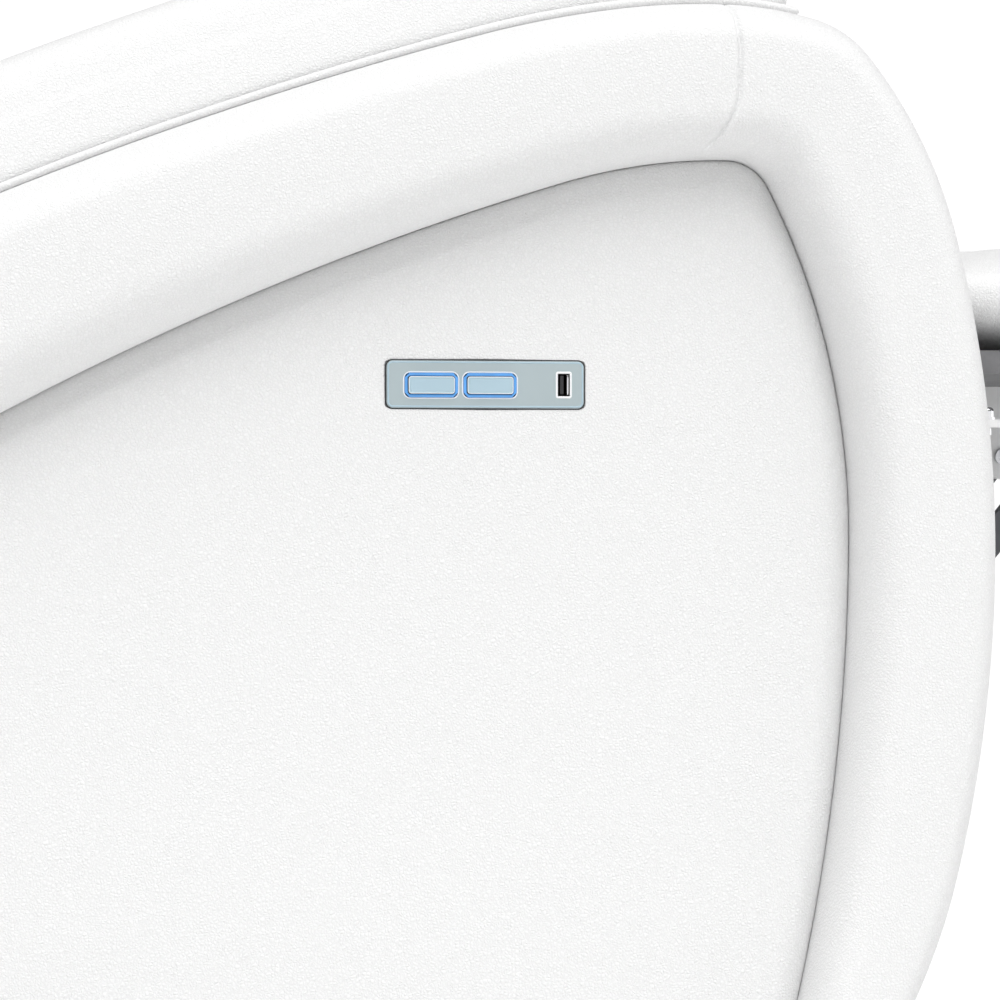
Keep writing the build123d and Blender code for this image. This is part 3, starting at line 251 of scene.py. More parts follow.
def closed_loop(arcs, spacing=0.5 * MM):
    """Points and outward normals round a closed outline, and the length at each point.

    Headings fall evenly along each clockwise arc. The last two radii, of the bottom and of the
    rear, solve the two equations that bring the loop back to its start.
    """
    rear = [(r, np.radians(a)) for r, a in arcs["rear"]]
    chain = rear + [(r, np.radians(a)) for r, a in arcs["front"] + [arcs["corner"]]]
    first = sum(turn for _, turn in rear)
    heading, offset, reach = first, np.zeros(2), np.zeros(2)
    for index, (radius, turn) in enumerate(chain):
        offset = offset + radius * arc_step(heading, turn)
        heading -= turn
        if index == len(rear) - 1:
            reach = offset
    bottom_turn = np.radians(arcs["bottom_turn"])
    rear_turn = 2 * np.pi - bottom_turn - (first - heading)
    steps = np.column_stack([arc_step(heading, bottom_turn),
                             arc_step(heading - bottom_turn, rear_turn)])
    bottom_radius, rear_radius = np.linalg.solve(steps, -offset)
    chain += [(bottom_radius, bottom_turn), (rear_radius, rear_turn)]

    point = np.array(arcs["peak"]) - reach + (ARM_FRONT, 0.0)
    heading, points, headings, lengths, length = first, [], [], [], 0.0
    for radius, turn in chain:
        count = max(int(radius * turn / spacing), 8)
        share = np.arange(count)[:, None] / count
        along = heading - turn * share[:, 0]
        swing = np.column_stack([np.sin(heading) - np.sin(along), np.cos(along) - np.cos(heading)])
        points.append(point + radius * swing)
        headings.append(along)
        lengths.append(length + radius * turn * share[:, 0])
        point = point + radius * arc_step(heading, turn)
        heading -= turn
        length += radius * turn
    along = np.concatenate(headings)
    normals = np.column_stack([-np.sin(along), np.cos(along)])
    return {"points": np.concatenate(points), "normals": normals,
            "s": np.concatenate(lengths), "length": length}


SLAB = closed_loop(SLAB_ARCS)
CREASE = closed_loop(CREASE_ARCS)


def along_loop(loop, s):
    """Points and outward normals of a loop at lengths s, which may run past its start."""
    def at(values):
        return np.interp(s, loop["s"], values, period=loop["length"])
    points = np.stack([at(loop["points"][:, k]) for k in (0, 1)], axis=-1)
    normals = np.stack([at(loop["normals"][:, k]) for k in (0, 1)], axis=-1)
    return points, normals / np.linalg.norm(normals, axis=-1, keepdims=True)


def polar_radius(loop, centre, angle):
    """The distance from a centre to the loop in each direction."""
    out = loop["points"] - centre
    return np.interp(angle, np.arctan2(out[:, 1], out[:, 0]), np.hypot(out[:, 0], out[:, 1]),
                     period=2 * np.pi)


def loop_place(loop, x, top=True):
    """The length along the loop where its upper or lower side passes x."""
    points, normals = loop["points"], loop["normals"]
    facing = normals[:, 1] > 0 if top else normals[:, 1] < 0
    found = np.where(facing, np.abs(points[:, 0] - x), np.inf)
    return loop["s"][int(np.argmin(found))]


# ------------------------------------------------------------------ meshes
def put_mesh(name, points, faces, slot, finish=None):
    """A smooth mesh object from arrays of points and of faces, with poles merged and faces outward.

    Its finish is its slot's own, or a named variant of it.
    """
    mesh = bpy.data.meshes.new(name)
    mesh.from_pydata(points.reshape(-1, 3), [], faces)
    work = bmesh.new()
    work.from_mesh(mesh)
    bmesh.ops.remove_doubles(work, verts=work.verts, dist=1e-6)
    bmesh.ops.dissolve_degenerate(work, edges=work.edges, dist=1e-7)
    bmesh.ops.recalc_face_normals(work, faces=work.faces)
    work.to_mesh(mesh)
    work.free()
    mesh.polygons.foreach_set("use_smooth", np.ones(len(mesh.polygons), bool))
    piece = bpy.data.objects.new(name, mesh)
    bpy.context.scene.collection.objects.link(piece)
    mesh.materials.append(material(finish or slot))
    return piece


def grid_piece(name, grid, slot, wrap_rows=False, wrap_columns=False, finish=None):
    """A piece from one grid of points."""
    rows, columns = grid.shape[:2]
    return put_mesh(name, grid, grid_faces(rows, columns, wrap_rows, wrap_columns), slot, finish)


def grid_faces(rows, columns, wrap_rows, wrap_columns):
    """Quads between neighbours of a grid of points, joined round where it wraps."""
    i = np.arange(rows if wrap_rows else rows - 1)[:, None]
    j = np.arange(columns if wrap_columns else columns - 1)[None, :]
    i2, j2 = (i + 1) % rows, (j + 1) % columns
    return np.stack([i * columns + j, i2 * columns + j, i2 * columns + j2, i * columns + j2],
                    axis=-1).reshape(-1, 4)


def surface(name, x, y, z, slot, wrap_rows=False, wrap_columns=False, finish=None):
    """A piece from three grids of coordinates."""
    points = np.stack(np.broadcast_arrays(x, y, z), axis=-1)
    return grid_piece(name, points, slot, wrap_rows, wrap_columns, finish)


def surfaces(name, grids, slot, wrap_rows=False, wrap_columns=False):
    """One piece from several grids of points of the same kind."""
    faces, start = [], 0
    for grid in grids:
        rows, columns = grid.shape[:2]
        faces.append(start + grid_faces(rows, columns, wrap_rows, wrap_columns))
        start += rows * columns
    points = np.concatenate([grid.reshape(-1, 3) for grid in grids])
    return put_mesh(name, points, np.concatenate(faces), slot)


def superellipse(angle, wide, high, power):
    """A closed section whose radius is (|cos/wide|^power + |sin/high|^power)^(-1/power)."""
    c, s = np.cos(angle), np.sin(angle)
    radius = (np.abs(c / wide) ** power + np.abs(s / high) ** power) ** (-1 / power)
    return radius * c, radius * s


def quarter(share, steep=2.0):
    """A rounded shoulder, from nought at share 0, where it is upright, to one and level at share 1."""
    return (1 - (1 - np.clip(share, 0, 1)) ** steep) ** (1 / steep)


def finer_near(places, length, spacing, fine, reach):
    """Lengths round a loop, spaced evenly and more closely within reach of the given places."""
    even = np.arange(0, length, spacing)
    near = np.concatenate([place + np.arange(-reach, reach, fine) for place in places]) % length
    return np.unique(np.round(np.concatenate([even, near]), 5))


# ------------------------------------------------------------------ materials
def add_node(tree, kind, inputs=None, **settings):
    """A node with its settings and unlinked inputs filled in."""
    node = tree.nodes.new("ShaderNode" + kind)
    for key, value in settings.items():
        setattr(node, key, value)
    for key, value in (inputs or {}).items():
        node.inputs[key].default_value = value
    return node


def object_pattern(tree, kind, scale, stretch=(1, 1, 1), warp=0.0, **settings):
    """The value of a texture on Object coordinates; warp bends it by a share of its own cell."""
    place = add_node(tree, "TexCoord").outputs["Object"]
    if stretch != (1, 1, 1):
        mapping = add_node(tree, "Mapping", {"Scale": stretch})
        tree.links.new(place, mapping.inputs["Vector"])
        place = mapping.outputs["Vector"]
    if warp:
        bend = add_node(tree, "TexNoise", {"Scale": scale * 0.6, "Detail": 1.0})
        tree.links.new(place, bend.inputs["Vector"])
        move = add_node(tree, "VectorMath", {3: warp / scale}, operation="SCALE")
        tree.links.new(bend.outputs["Color"], move.inputs[0])
        add = add_node(tree, "VectorMath", operation="ADD")
        tree.links.new(place, add.inputs[0])
        tree.links.new(move.outputs[0], add.inputs[1])
        place = add.outputs[0]
    inputs = {"Scale": scale}
    inputs.update(settings.pop("inputs", {}))
    texture = add_node(tree, kind, inputs, **settings)
    tree.links.new(place, texture.inputs["Vector"])
    return texture.outputs["Distance" if kind == "TexVoronoi" else "Fac"]


def remap(tree, value, low, high, to_low, to_high):
    """A value stretched from one range to another and held inside it."""
    node = add_node(tree, "MapRange", {1: low, 2: high, 3: to_low, 4: to_high})
    tree.links.new(value, node.inputs["Value"])
    return node.outputs["Result"]


def shade(tree, factor, dark, light, socket):
    """A colour between dark and light by a factor, linked to the socket."""
    mix = add_node(tree, "Mix", {6: (*dark, 1), 7: (*light, 1)}, data_type="RGBA")
    tree.links.new(factor, mix.inputs[0])
    tree.links.new(mix.outputs[2], socket)


def bump(tree, height, depth, strength=1.0, under=None):
    """A bump of the given depth in metres, over another bump's normal."""
    node = add_node(tree, "Bump", {"Strength": strength, "Distance": depth})
    tree.links.new(height, node.inputs["Height"])
    if under:
        tree.links.new(under, node.inputs["Normal"])
    return node.outputs["Normal"]


def start_material(name, **sockets):
    """A material with only its shader, and that shader's plain values set."""
    made = bpy.data.materials.new(name)
    made.use_nodes = True
    shader = made.node_tree.nodes["Principled BSDF"]
    for key, value in sockets.items():
        shader.inputs[key.replace("_", " ")].default_value = value
    return made, made.node_tree, shader


def tinted(colour, share):
    """A colour made darker or lighter by a share."""
    return tuple(min(c * share, 1.0) for c in colour)


def leather(name, deep=1.0, painted_light_lift=1.0):
    """White upholstery leather: warped pebbles with fine creases between them, pores and slow waves; painted shade
    darkens the creases' colour, and a lift above one lightens all of it as painted light.
    """
    look = bpy.context.scene.chair_finish
    made, tree, shader = start_material(name, Roughness=0.5, Specular_IOR_Level=0.25)
    pebbles = object_pattern(tree, "TexVoronoi", 1 / look.grain_size, warp=1.1,
                             feature="DISTANCE_TO_EDGE", inputs={"Randomness": 1.0})
    dome = remap(tree, pebbles, 0.0, 0.45, 0.0, 1.0)
    # Painted shade: a mask of the creases between the pebbles, whose colour is darkened where shade falls in them.
    painted_crease_shade = remap(tree, pebbles, 0.0, 0.16, 0.0, 1.0)
    pores = object_pattern(tree, "TexNoise", 1.4 / look.grain_size,
                           inputs={"Detail": 3.0, "Roughness": 0.6})
    waves = object_pattern(tree, "TexNoise", 22.0, inputs={"Detail": 2.0})
    # Colour: painted shade darkens the creases, and the painted light lift raises the whole colour.
    shade(tree, painted_crease_shade, tinted(look.leather, 0.93 * painted_light_lift), tinted(look.leather, painted_light_lift),
          shader.inputs["Base Color"])
    tree.links.new(remap(tree, pores, 0.3, 0.7, 0.44, 0.58), shader.inputs["Roughness"])
    normal = bump(tree, waves, 1.2 * MM, 0.35)
    normal = bump(tree, pores, look.grain_depth * deep, 1.0, normal)
    normal = bump(tree, dome, look.grain_depth * deep, 1.0, normal)
    tree.links.new(normal, shader.inputs["Normal"])
    return made


def powder_coat(name, colour, roughness=0.42, darkest=0.9):
    """Baked powder paint: orange-peel dimples and a faint change of tone."""
    made, tree, shader = start_material(name, Roughness=roughness, Specular_IOR_Level=0.45)
    peel = object_pattern(tree, "TexNoise", 420.0, inputs={"Detail": 2.0})
    tone = object_pattern(tree, "TexNoise", 9.0, inputs={"Detail": 3.0})
    shade(tree, tone, tinted(colour, darkest), tinted(colour, 1.03), shader.inputs["Base Color"])
    tree.links.new(bump(tree, peel, 0.25 * MM, 0.5), shader.inputs["Normal"])
    return made


def bright_metal(name, colour, roughness, brushing):
    """Bare metal: brush lines drawn out along x, and smudges in the gloss."""
    made, tree, shader = start_material(name, Metallic=1.0)
    lines = object_pattern(tree, "TexNoise", 900.0, stretch=(0.04, 1, 1), inputs={"Detail": 2.0})
    smudge = object_pattern(tree, "TexNoise", 30.0, inputs={"Detail": 4.0})
    shade(tree, smudge, tinted(colour, 0.88), tinted(colour, 1.05), shader.inputs["Base Color"])
    spread = remap(tree, smudge, 0.3, 0.7, roughness * 0.8, roughness * 1.3)
    tree.links.new(spread, shader.inputs["Roughness"])
    tree.links.new(bump(tree, lines, 0.1 * MM, brushing), shader.inputs["Normal"])
    return made


def moulded(name, colour, roughness, texture=0.3, specular=0.5):
    """Moulded plastic or rubber: a fine sparked texture and slight mottling."""
    made, tree, shader = start_material(name, Roughness=roughness, Specular_IOR_Level=specular)
    spark = object_pattern(tree, "TexNoise", 1500.0, inputs={"Detail": 2.0})
    mottle = object_pattern(tree, "TexNoise", 40.0, inputs={"Detail": 3.0})
    shade(tree, mottle, tinted(colour, 0.93), tinted(colour, 1.04), shader.inputs["Base Color"])
    tree.links.new(bump(tree, spark, 0.12 * MM, texture), shader.inputs["Normal"])
    return made


def board(name, dark, light, stretch):
    """Sealed board: long grain drawn out along one axis, with flecks."""
    made, tree, shader = start_material(name, Roughness=0.62, Specular_IOR_Level=0.3)
    grain = object_pattern(tree, "TexNoise", 60.0, stretch=stretch,
                           inputs={"Detail": 6.0, "Roughness": 0.65})
    fleck = object_pattern(tree, "TexNoise", 700.0, stretch=stretch, inputs={"Detail": 2.0})
    shade(tree, remap(tree, grain, 0.35, 0.65, 0, 1), dark, light, shader.inputs["Base Color"])
    tree.links.new(bump(tree, fleck, 0.2 * MM, 0.5), shader.inputs["Normal"])
    return made


def lit_ring(name):
    """Clear blue plastic with light behind it, unevenly bright along the ring."""
    look = bpy.context.scene.chair_finish
    made, tree, shader = start_material(name, Roughness=0.25, Emission_Strength=0.16)
    glow = object_pattern(tree, "TexNoise", 90.0, inputs={"Detail": 1.0})
    shade(tree, glow, tinted(look.ring, 0.85), tinted(look.ring, 1.2), shader.inputs["Base Color"])
    shade(tree, glow, tinted(look.ring, 0.8), tinted(look.ring, 1.3),
          shader.inputs["Emission Color"])
    return made


MATERIALS = {
    "white_leather": leather,
    # The field's leather: deeper grain, and its colour lightened a little as painted light that offsets the shade
    # of that deeper grain.
    "field_leather_painted_lighter": lambda name: leather(name, 1.1, 1.01),
    "steel_paint": lambda name: powder_coat(name, (0.11, 0.115, 0.125)),
    "white_paint": lambda name: powder_coat(name, (0.80, 0.80, 0.80), 0.36, 0.98),
    "bright_steel": lambda name: bright_metal(name, (0.62, 0.63, 0.65), 0.26, 0.35),
    "zinc": lambda name: bright_metal(name, (0.80, 0.80, 0.82), 0.16, 0.08),
    "plywood": lambda name: board(name, (0.10, 0.095, 0.09), (0.17, 0.16, 0.15), (0.1, 1, 1)),
    "grey_board": lambda name: board(name, (0.145, 0.145, 0.15), (0.18, 0.18, 0.185), (1, 0.15, 1)),
    "silver_plate": lambda name: moulded(name, bpy.context.scene.chair_finish.plate, 0.34, 0.25),
    "blue_ring": lit_ring,
    "button_plastic": lambda name: moulded(name, bpy.context.scene.chair_finish.button, 0.3, 0.1),
    "black_plastic": lambda name: moulded(name, (0.02, 0.02, 0.022), 0.4),
    "white_plastic": lambda name: moulded(name, (0.86, 0.87, 0.88), 0.16, 0.05),
    "rubber": lambda name: moulded(name, (0.03, 0.03, 0.03), 0.75, 0.6, 0.3),
}


def material(slot):
    """The one material of a slot, made the first time that it is asked for."""
    return bpy.data.materials.get("finish_" + slot) or MATERIALS[slot]("finish_" + slot)


# ------------------------------------------------------------------ arms
ROLL_CENTRE = np.array([ARM_FRONT - 0.345, 0.44])
ROLL_SEAM = ARM_FRONT - 0.1668  # where the front seam leaves the arm's outline
LOWER_SEAMS = (ARM_FRONT - 0.62, ARM_FRONT - 0.14)  # where the others leave its underside
SEAM_UPRIGHT = 58 * MM  # how far forward of its ray the front seam stays, to run straight down
SEAM_SWEEP = 22 * MM  # how far the front seam curves rearward by the crease


def roll_section(size):
    """The roll's section as shares across it, from the crease (0) to the outline (1), and heights.

    From the hidden inner edge up the rim, over a quarter ellipse, across the crowned face, down
    a quarter of a superellipse that leaves the face softly (power 2.7 across, 2 down), along the
    upright wall behind the crease, and back under the roll.
    """
    outer, inner = size.outer_shoulder, size.inner_shoulder
    rim_top = ARM_OUT - size.rim_height
    turn = np.linspace(0, np.pi / 2, 15)
    rim = [np.ones(6), np.linspace(CORE_IN, rim_top, 6)]
    outside = [1 - outer * (1 - np.cos(turn)), rim_top + size.rim_height * np.sin(turn)]
    flat = np.linspace(1 - outer, inner, 10)[1:-1]
    middle = (flat - inner) / (1 - outer - inner)
    face = [flat, ARM_OUT + size.roll_crown * 4 * middle * (1 - middle)]
    fall = np.linspace(np.pi / 2, 0, 24)
    inside = [inner * (1 - np.cos(fall) ** 0.75), FIELD_OUT + (ARM_OUT - FIELD_OUT) * np.sin(fall)]
    wall = [np.zeros(8), np.linspace(FIELD_OUT, CORE_IN, 9)[1:]]
    back = [np.linspace(0, 1, 7)[1:-1], np.full(5, CORE_IN)]
    sections = [rim, outside, face, inside, wall, back]
    return tuple(np.concatenate([part[k] for part in sections]) for k in (0, 1))


class CHAIR_OT_arm_rolls(bpy.types.Operator):
    """Makes the thick leather roll round each arm"""

    bl_idname = "chair.arm_rolls"
    bl_label = "Arm Rolls"

    def execute(self, context):
        """Points lie on rays from a centre, a share of the way from the crease to the outline.

        The ray's place slides rearward towards the crease near the front seam, so that a line of
        the grid follows the seam, and the seam is a narrow bell-shaped groove beside that line.
        """
        size = context.scene.chair_arm
        share, height = roll_section(size)
        seams = [loop_place(SLAB, ROLL_SEAM)]
        seams += [loop_place(SLAB, x, top=False) for x in LOWER_SEAMS]
        s = finer_near(seams, SLAB["length"], 3.4 * MM, 0.6 * MM, 7 * MM)[:, None]
        away = np.stack([(s - seam + SLAB["length"] / 2) % SLAB["length"] - SLAB["length"] / 2
                         for seam in seams])
        sweep = SEAM_UPRIGHT * (1 - share) - SEAM_SWEEP * np.clip(1 - share / 0.42, 0, 1) ** 1.8
        bent = s + sweep * np.exp(-(away[0] / 0.1) ** 2)
        outline, _ = along_loop(SLAB, bent)
        ray = outline - ROLL_CENTRE
        angle = np.arctan2(ray[..., 1], ray[..., 0])
        low, high = polar_radius(CREASE, ROLL_CENTRE, angle), np.linalg.norm(ray, axis=-1)
        radius = low + (high - low) * share
        groove = size.seam_depth * np.exp(-(away / size.seam_width) ** 2).sum(0)
        lift = np.clip((height - FIELD_IN) / (ARM_OUT - FIELD_IN), 0, 1)
        sunk = height - groove * lift
        radius = radius - groove * lift * np.where(share > 1 - size.outer_shoulder, 0.7, 0.0)
        x = ROLL_CENTRE[0] + radius * np.cos(angle)
        z = ROLL_CENTRE[1] + radius * np.sin(angle)
        for name, side in SIDES.items():
            roll = surface(f"{name}_roll_cover", x, side * sunk, z, "white_leather", True, True)
            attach(roll, "base")
            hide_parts(f"{name}_arm_roll")
        return {"FINISHED"}


class CHAIR_OT_arm_fields(bpy.types.Operator):
    """Makes the flat padded field inside each arm's roll, with the control pocket on the right"""

    bl_idname = "chair.arm_fields"
    bl_label = "Arm Fields"

    def execute(self, context):
        """Points lie on rays from the control housing's middle, from the pocket out to the crease.

        The face swells by a parabola over its outer part, drops into the crease over a quarter
        ellipse, and lies under the plate's edge. On the left arm the pocket closes to a point.
        """
        size = context.scene.chair_arm
        low, high = node_box("control_housing")
        plate_low, plate_high = node_box("control_plate")
        centre = np.array([(low[0] + high[0]) / 2, (low[2] + high[2]) / 2])
        angle = np.linspace(0, 2 * np.pi, 720, endpoint=False)[:, None]
        edge = polar_radius(CREASE, centre, angle) - 0.3 * MM
        wide, tall = superellipse(angle, (high[0] - low[0]) / 2, (high[2] - low[2]) / 2, 14)
        plate = np.hypot(*superellipse(angle, *((plate_high - plate_low)[[0, 2]] / 2 + 0.3 * MM), 18))
        share = np.concatenate([np.linspace(0.04, 0.75, 16),
                                1 - 0.25 * np.linspace(1, 0, 26)[1:] ** 1.7])
        for name, side in SIDES.items():
            pocket = np.hypot(wide, tall) * (side < 0)
            start = np.where(side < 0, plate + 1.2 * MM, 20 * MM)
            steps = np.array([0, 0.6, 0.9, 1.5, 3.0, 6.0]) * MM - 1.2 * MM
            rim = start + steps[-1]
            radius = np.hstack([pocket, start + steps, rim + (edge - rim) * share])
            inward = (edge - radius) * self.lean(centre, angle)
            dome = size.field_swell * (1 - np.clip(1 - inward / (130 * MM), 0, 1) ** 2)
            if side < 0:
                dome *= quarter((radius - start + 1.2 * MM) / (0.9 * MM))
            drop = size.field_drop
            height = FIELD_OUT - drop + drop * quarter(inward / size.field_edge, 1.5) + dome
            back = np.broadcast_to(FIELD_IN + 1 * MM, edge.shape)
            radius = np.hstack([radius, edge, pocket])
            height = np.hstack([height, back, back])
            # The field takes the lighter copy of the leather, its colour lightened as painted light.
            field = surface(f"{name}_field_cover", centre[0] + radius * np.cos(angle), side * height,
                            centre[1] + radius * np.sin(angle), "white_leather", True, side < 0,
                            "field_leather_painted_lighter")
            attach(field, "base")
            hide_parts(f"{name}_arm_field")
        return {"FINISHED"}

    @staticmethod
    def lean(centre, angle):
        """The cosine between each ray and the crease's outward normal where the ray meets it."""
        out = CREASE["points"] - centre
        place = np.interp(angle, np.arctan2(out[:, 1], out[:, 0]), np.arange(len(out)),
                          period=2 * np.pi)
        normal = CREASE["normals"][place.astype(int) % len(out)]
        return np.clip(normal[..., 0] * np.cos(angle) + normal[..., 1] * np.sin(angle), 0.3, 1)


class CHAIR_OT_arm_pads(bpy.types.Operator):
    """Makes the pad along the top of each arm"""

    bl_idname = "chair.arm_pads"
    bl_label = "Arm Top Pads"

    def execute(self, context):
        """A superellipse section, square below and leaning inwards, carried along the arm's outline.

        Both ends are blunt, drawn in over a quarter of a superellipse.
        """
        size = context.scene.chair_arm
        low, high = node_box("right_arm_top_pad")
        start, end = loop_place(SLAB, low[0] + 22 * MM), loop_place(SLAB, high[0] - 1 * MM)
        span = (end - start) % SLAB["length"]
        share = (1 - np.cos(np.linspace(0, np.pi, 190)[:, None])) / 2
        s = start + span * share
        middle, normal = along_loop(SLAB, s[:, 0])
        blunt = 20 * MM
        near = np.minimum(share, 1 - share) * span
        draw = quarter(near / blunt, 2.6)
        turn = np.linspace(0, 2 * np.pi, 88, endpoint=False)[None, :]
        half_wide, half_high = (high[1] - low[1]) / 2, 36.5 * MM
        power = np.where(np.sin(turn) > 0, size.pad_squareness, 18.0)
        across, up = superellipse(turn, half_wide, half_high, power)
        across = across * (1 - size.pad_lean * (up + half_high) / (2 * half_high)) * draw
        crown = 3 * MM * (1 - (across / half_wide) ** 2)
        up = np.where(up > 0, (up - 3 * MM + crown) * draw, up) + half_high + 0.5 * MM
        x = middle[:, :1] + normal[:, :1] * up
        z = middle[:, 1:] + normal[:, 1:] * up
        for name, side in SIDES.items():
            y = side * (abs(low[1] + high[1]) / 2 + across)
            pad = surface(f"{name}_top_pad_cover", x, y, z, "white_leather", False, True)
            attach(pad, "base")
            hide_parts(f"{name}_arm_top_pad")
        return {"FINISHED"}


class CHAIR_OT_arm_piping(bpy.types.Operator):
    """Makes the piping between each arm's roll and its top pad"""

    bl_idname = "chair.arm_piping"
    bl_label = "Arm Piping"

    def execute(self, context):
        """A circle carried along the arm's outline, lying on its outside and closing at the ends."""
        size = context.scene.chair_arm
        low, high = node_box("right_arm_piping")
        start, end = loop_place(SLAB, low[0] + 1 * MM), loop_place(SLAB, high[0] - 1 * MM)
        span = (end - start) % SLAB["length"]
        share = np.linspace(0, 1, 420)
        path, normal = along_loop(SLAB, start + span * share)
        radius = size.piping / 2
        draw = quarter(np.minimum(share, 1 - share) * span / radius)[:, None]
        turn = np.linspace(0, 2 * np.pi, 18, endpoint=False)[None, :]
        up = radius + radius * draw * np.sin(turn)
        across = radius * draw * np.cos(turn)
        for name, side in SIDES.items():
            piping = surface(f"{name}_piping_cord", path[:, :1] + normal[:, :1] * up,
                             side * (abs(low[1] + high[1]) / 2 + across),
                             path[:, 1:] + normal[:, 1:] * up, "white_leather", False, True)
            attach(piping, "base")
            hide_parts(f"{name}_arm_piping")
        return {"FINISHED"}


class CHAIR_OT_inner_pads(bpy.types.Operator):
    """Makes the thin padded panel on the inside of each arm"""

    bl_idname = "chair.inner_pads"
    bl_label = "Arm Inner Pads"

    def execute(self, context):
        """Rays from the arm's middle out to its inset outline, level and rounded off at the edge."""
        inset, edge = 8.3 * MM, 9 * MM
        angle = np.linspace(0, 2 * np.pi, 480, endpoint=False)[:, None]
        reach = polar_radius(SLAB, ROLL_CENTRE, angle) - inset
        share = np.concatenate([np.linspace(0, 0.9, 12), 1 - 0.1 * np.linspace(1, 0, 16)[1:] ** 2])
        depth = (CORE_IN - ARM_IN) * (1 - quarter(reach * (1 - share) / edge))
        back = np.broadcast_to(CORE_IN - 0.3 * MM, reach.shape)
        radius = np.hstack([reach * share, reach, reach * 0])
        height = np.hstack([ARM_IN + depth * 0.85, back, back])
        for name, side in SIDES.items():
            pad = surface(f"{name}_inner_pad_cover", ROLL_CENTRE[0] + radius * np.cos(angle),
                          side * height, ROLL_CENTRE[1] + radius * np.sin(angle),
                          "white_leather", True)
            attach(pad, "base")
            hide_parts(f"{name}_arm_inner_pad")
        return {"FINISHED"}


# ------------------------------------------------------------------ control panel
def frame_corners(half, corner, steps):
    """Corner centres and outward directions round a rounded rectangle, a quarter turn a corner."""
    k = np.repeat(np.arange(4), steps)
    turn = (k + np.tile(np.linspace(0, 1, steps), 4)) * np.pi / 2
    signs = np.stack([np.where(k % 3 == 0, 1, -1), np.where(k < 2, 1, -1)], axis=-1)
    return (np.array(half) - corner) * signs, np.stack([np.cos(turn), np.sin(turn)], axis=-1)


def frame_band(centre, half, corner, width, face, rise, steps=8, power=2.0):
    """A raised band round a rounded rectangle on a face that looks along -Y.

    Its section is a superellipse, half sunk in the face; two steps a corner make it a chamfer.
    """
    middle, out = frame_corners(half, corner, steps)
    turn = np.linspace(0, 2 * np.pi, 16, endpoint=False)[:, None]
    offset, lift = superellipse(turn, width / 2, rise, power)
    x = centre[0] + middle[:, 0] + (corner + offset) * out[:, 0]
    z = centre[1] + middle[:, 1] + (corner + offset) * out[:, 1]
    return np.stack(np.broadcast_arrays(x, face - lift, z), axis=-1)


def flat_box(node):
    """A node's middle and half size along x and z, and the y of its outer face on the right arm."""
    low, high = node_box(node)
    return (low + high)[[0, 2]] / 2, (high - low)[[0, 2]] / 2, low[1]


class CHAIR_OT_control_panel(bpy.types.Operator):
    """Makes a thin dark band painted as the shadow in the gap round the control plate, a lighter band painted as
    the highlight on the plate's bevel, the surrounds, the buttons' rims and painted edge highlights, and the
    chamfered lit rings
    """

    bl_idname = "chair.control_panel"
    bl_label = "Control Panel"

    def execute(self, context):
        """Every piece is a band round a rounded rectangle, placed from its node's box."""
        middle, half, face = flat_box("control_plate")
        # Painted shadow: a thin black band on the leather round the plate stands in for the shade in the gap
        # between plate and leather.
        self.band("control_plate_shadow_line", "black_plastic", "base",
                  [frame_band(middle, half + 0.05 * MM, 3.8 * MM, 1.1 * MM,
                              -FIELD_OUT - 2.1 * MM, 0.6 * MM)])
        # Painted highlight: a slightly raised band in the lighter button colour just inside the plate's border
        # stands in for the light caught on the plate's bevel.
        self.band("control_plate_edge", "button_plastic", "base",
                  [frame_band(middle, half - 1.2 * MM, 2.6 * MM, 0.9 * MM, face, 0.2 * MM)])
        rings, ring_half, _ = flat_box("light_rings")
        places = {name: flat_box(name) for name in ("back_button", "leg_rest_button")}
        reach = places["back_button"][0][0] - (rings[0] - ring_half[0])
        outer = np.array([reach, ring_half[1]])
        wall = (outer - places["back_button"][1]).min()
        rim = wall * 0.3
        halo, lit = [], []
        for name, (centre, cap, cap_face) in places.items():
            halo.append(frame_band(centre, outer + 0.55 * MM, 4.1 * MM, 0.8 * MM, face, 0.12 * MM))
            lit.append(frame_band(centre, outer - rim, 1.9 * MM, 2 * rim, face - 0.1 * MM,
                                  0.9 * MM, steps=2, power=5.0))
            self.band(name + "_rim", "button_plastic", name,
                      [frame_band(centre, cap + rim / 2 - 0.2 * MM, 1.0 * MM, rim + 0.4 * MM,
                                  cap_face + 0.3 * MM, 0.32 * MM, power=6.0)])
            # Painted highlight: a thin white band round each button cap's edge stands in for the bright light
            # caught on the cap's rounded edge.
            self.band(name + "_edge", "white_plastic", name,
                      [frame_band(centre, cap + rim - 0.25 * MM, 1.4 * MM, 0.5 * MM,
                                  cap_face + 0.25 * MM, 0.33 * MM)])
        self.band("ring_surrounds", "white_plastic", "base", halo)
        lit = self.band("lit_rings", "blue_ring", "base", lit)
        lit.data.set_sharp_from_angle(angle=np.radians(30))
        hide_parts("light_rings")
        centre, half, _ = flat_box("usb_socket")
        contacts = rounded_block(np.array([0.55, 0.7, half[1] / MM - 1.3]) * MM, 5.0, 24, 24)
        place = (centre[0] + 2.5 * MM, face + 0.9 * MM, centre[1])
        contacts = grid_piece("usb_contacts", contacts + place, "zinc", wrap_columns=True)
        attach(contacts, "base")
        self.band("usb_surround", "white_plastic", "base",
                  [frame_band(centre, half + 0.1 * MM, 0.8 * MM, 1.3 * MM, face, 0.25 * MM)])
        return {"FINISHED"}

    @staticmethod
    def band(name, slot, body, grids):
        """One piece of closed bands that rides on a body."""
        piece = surfaces(name, grids, slot, True, True)
        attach(piece, body)
        return piece


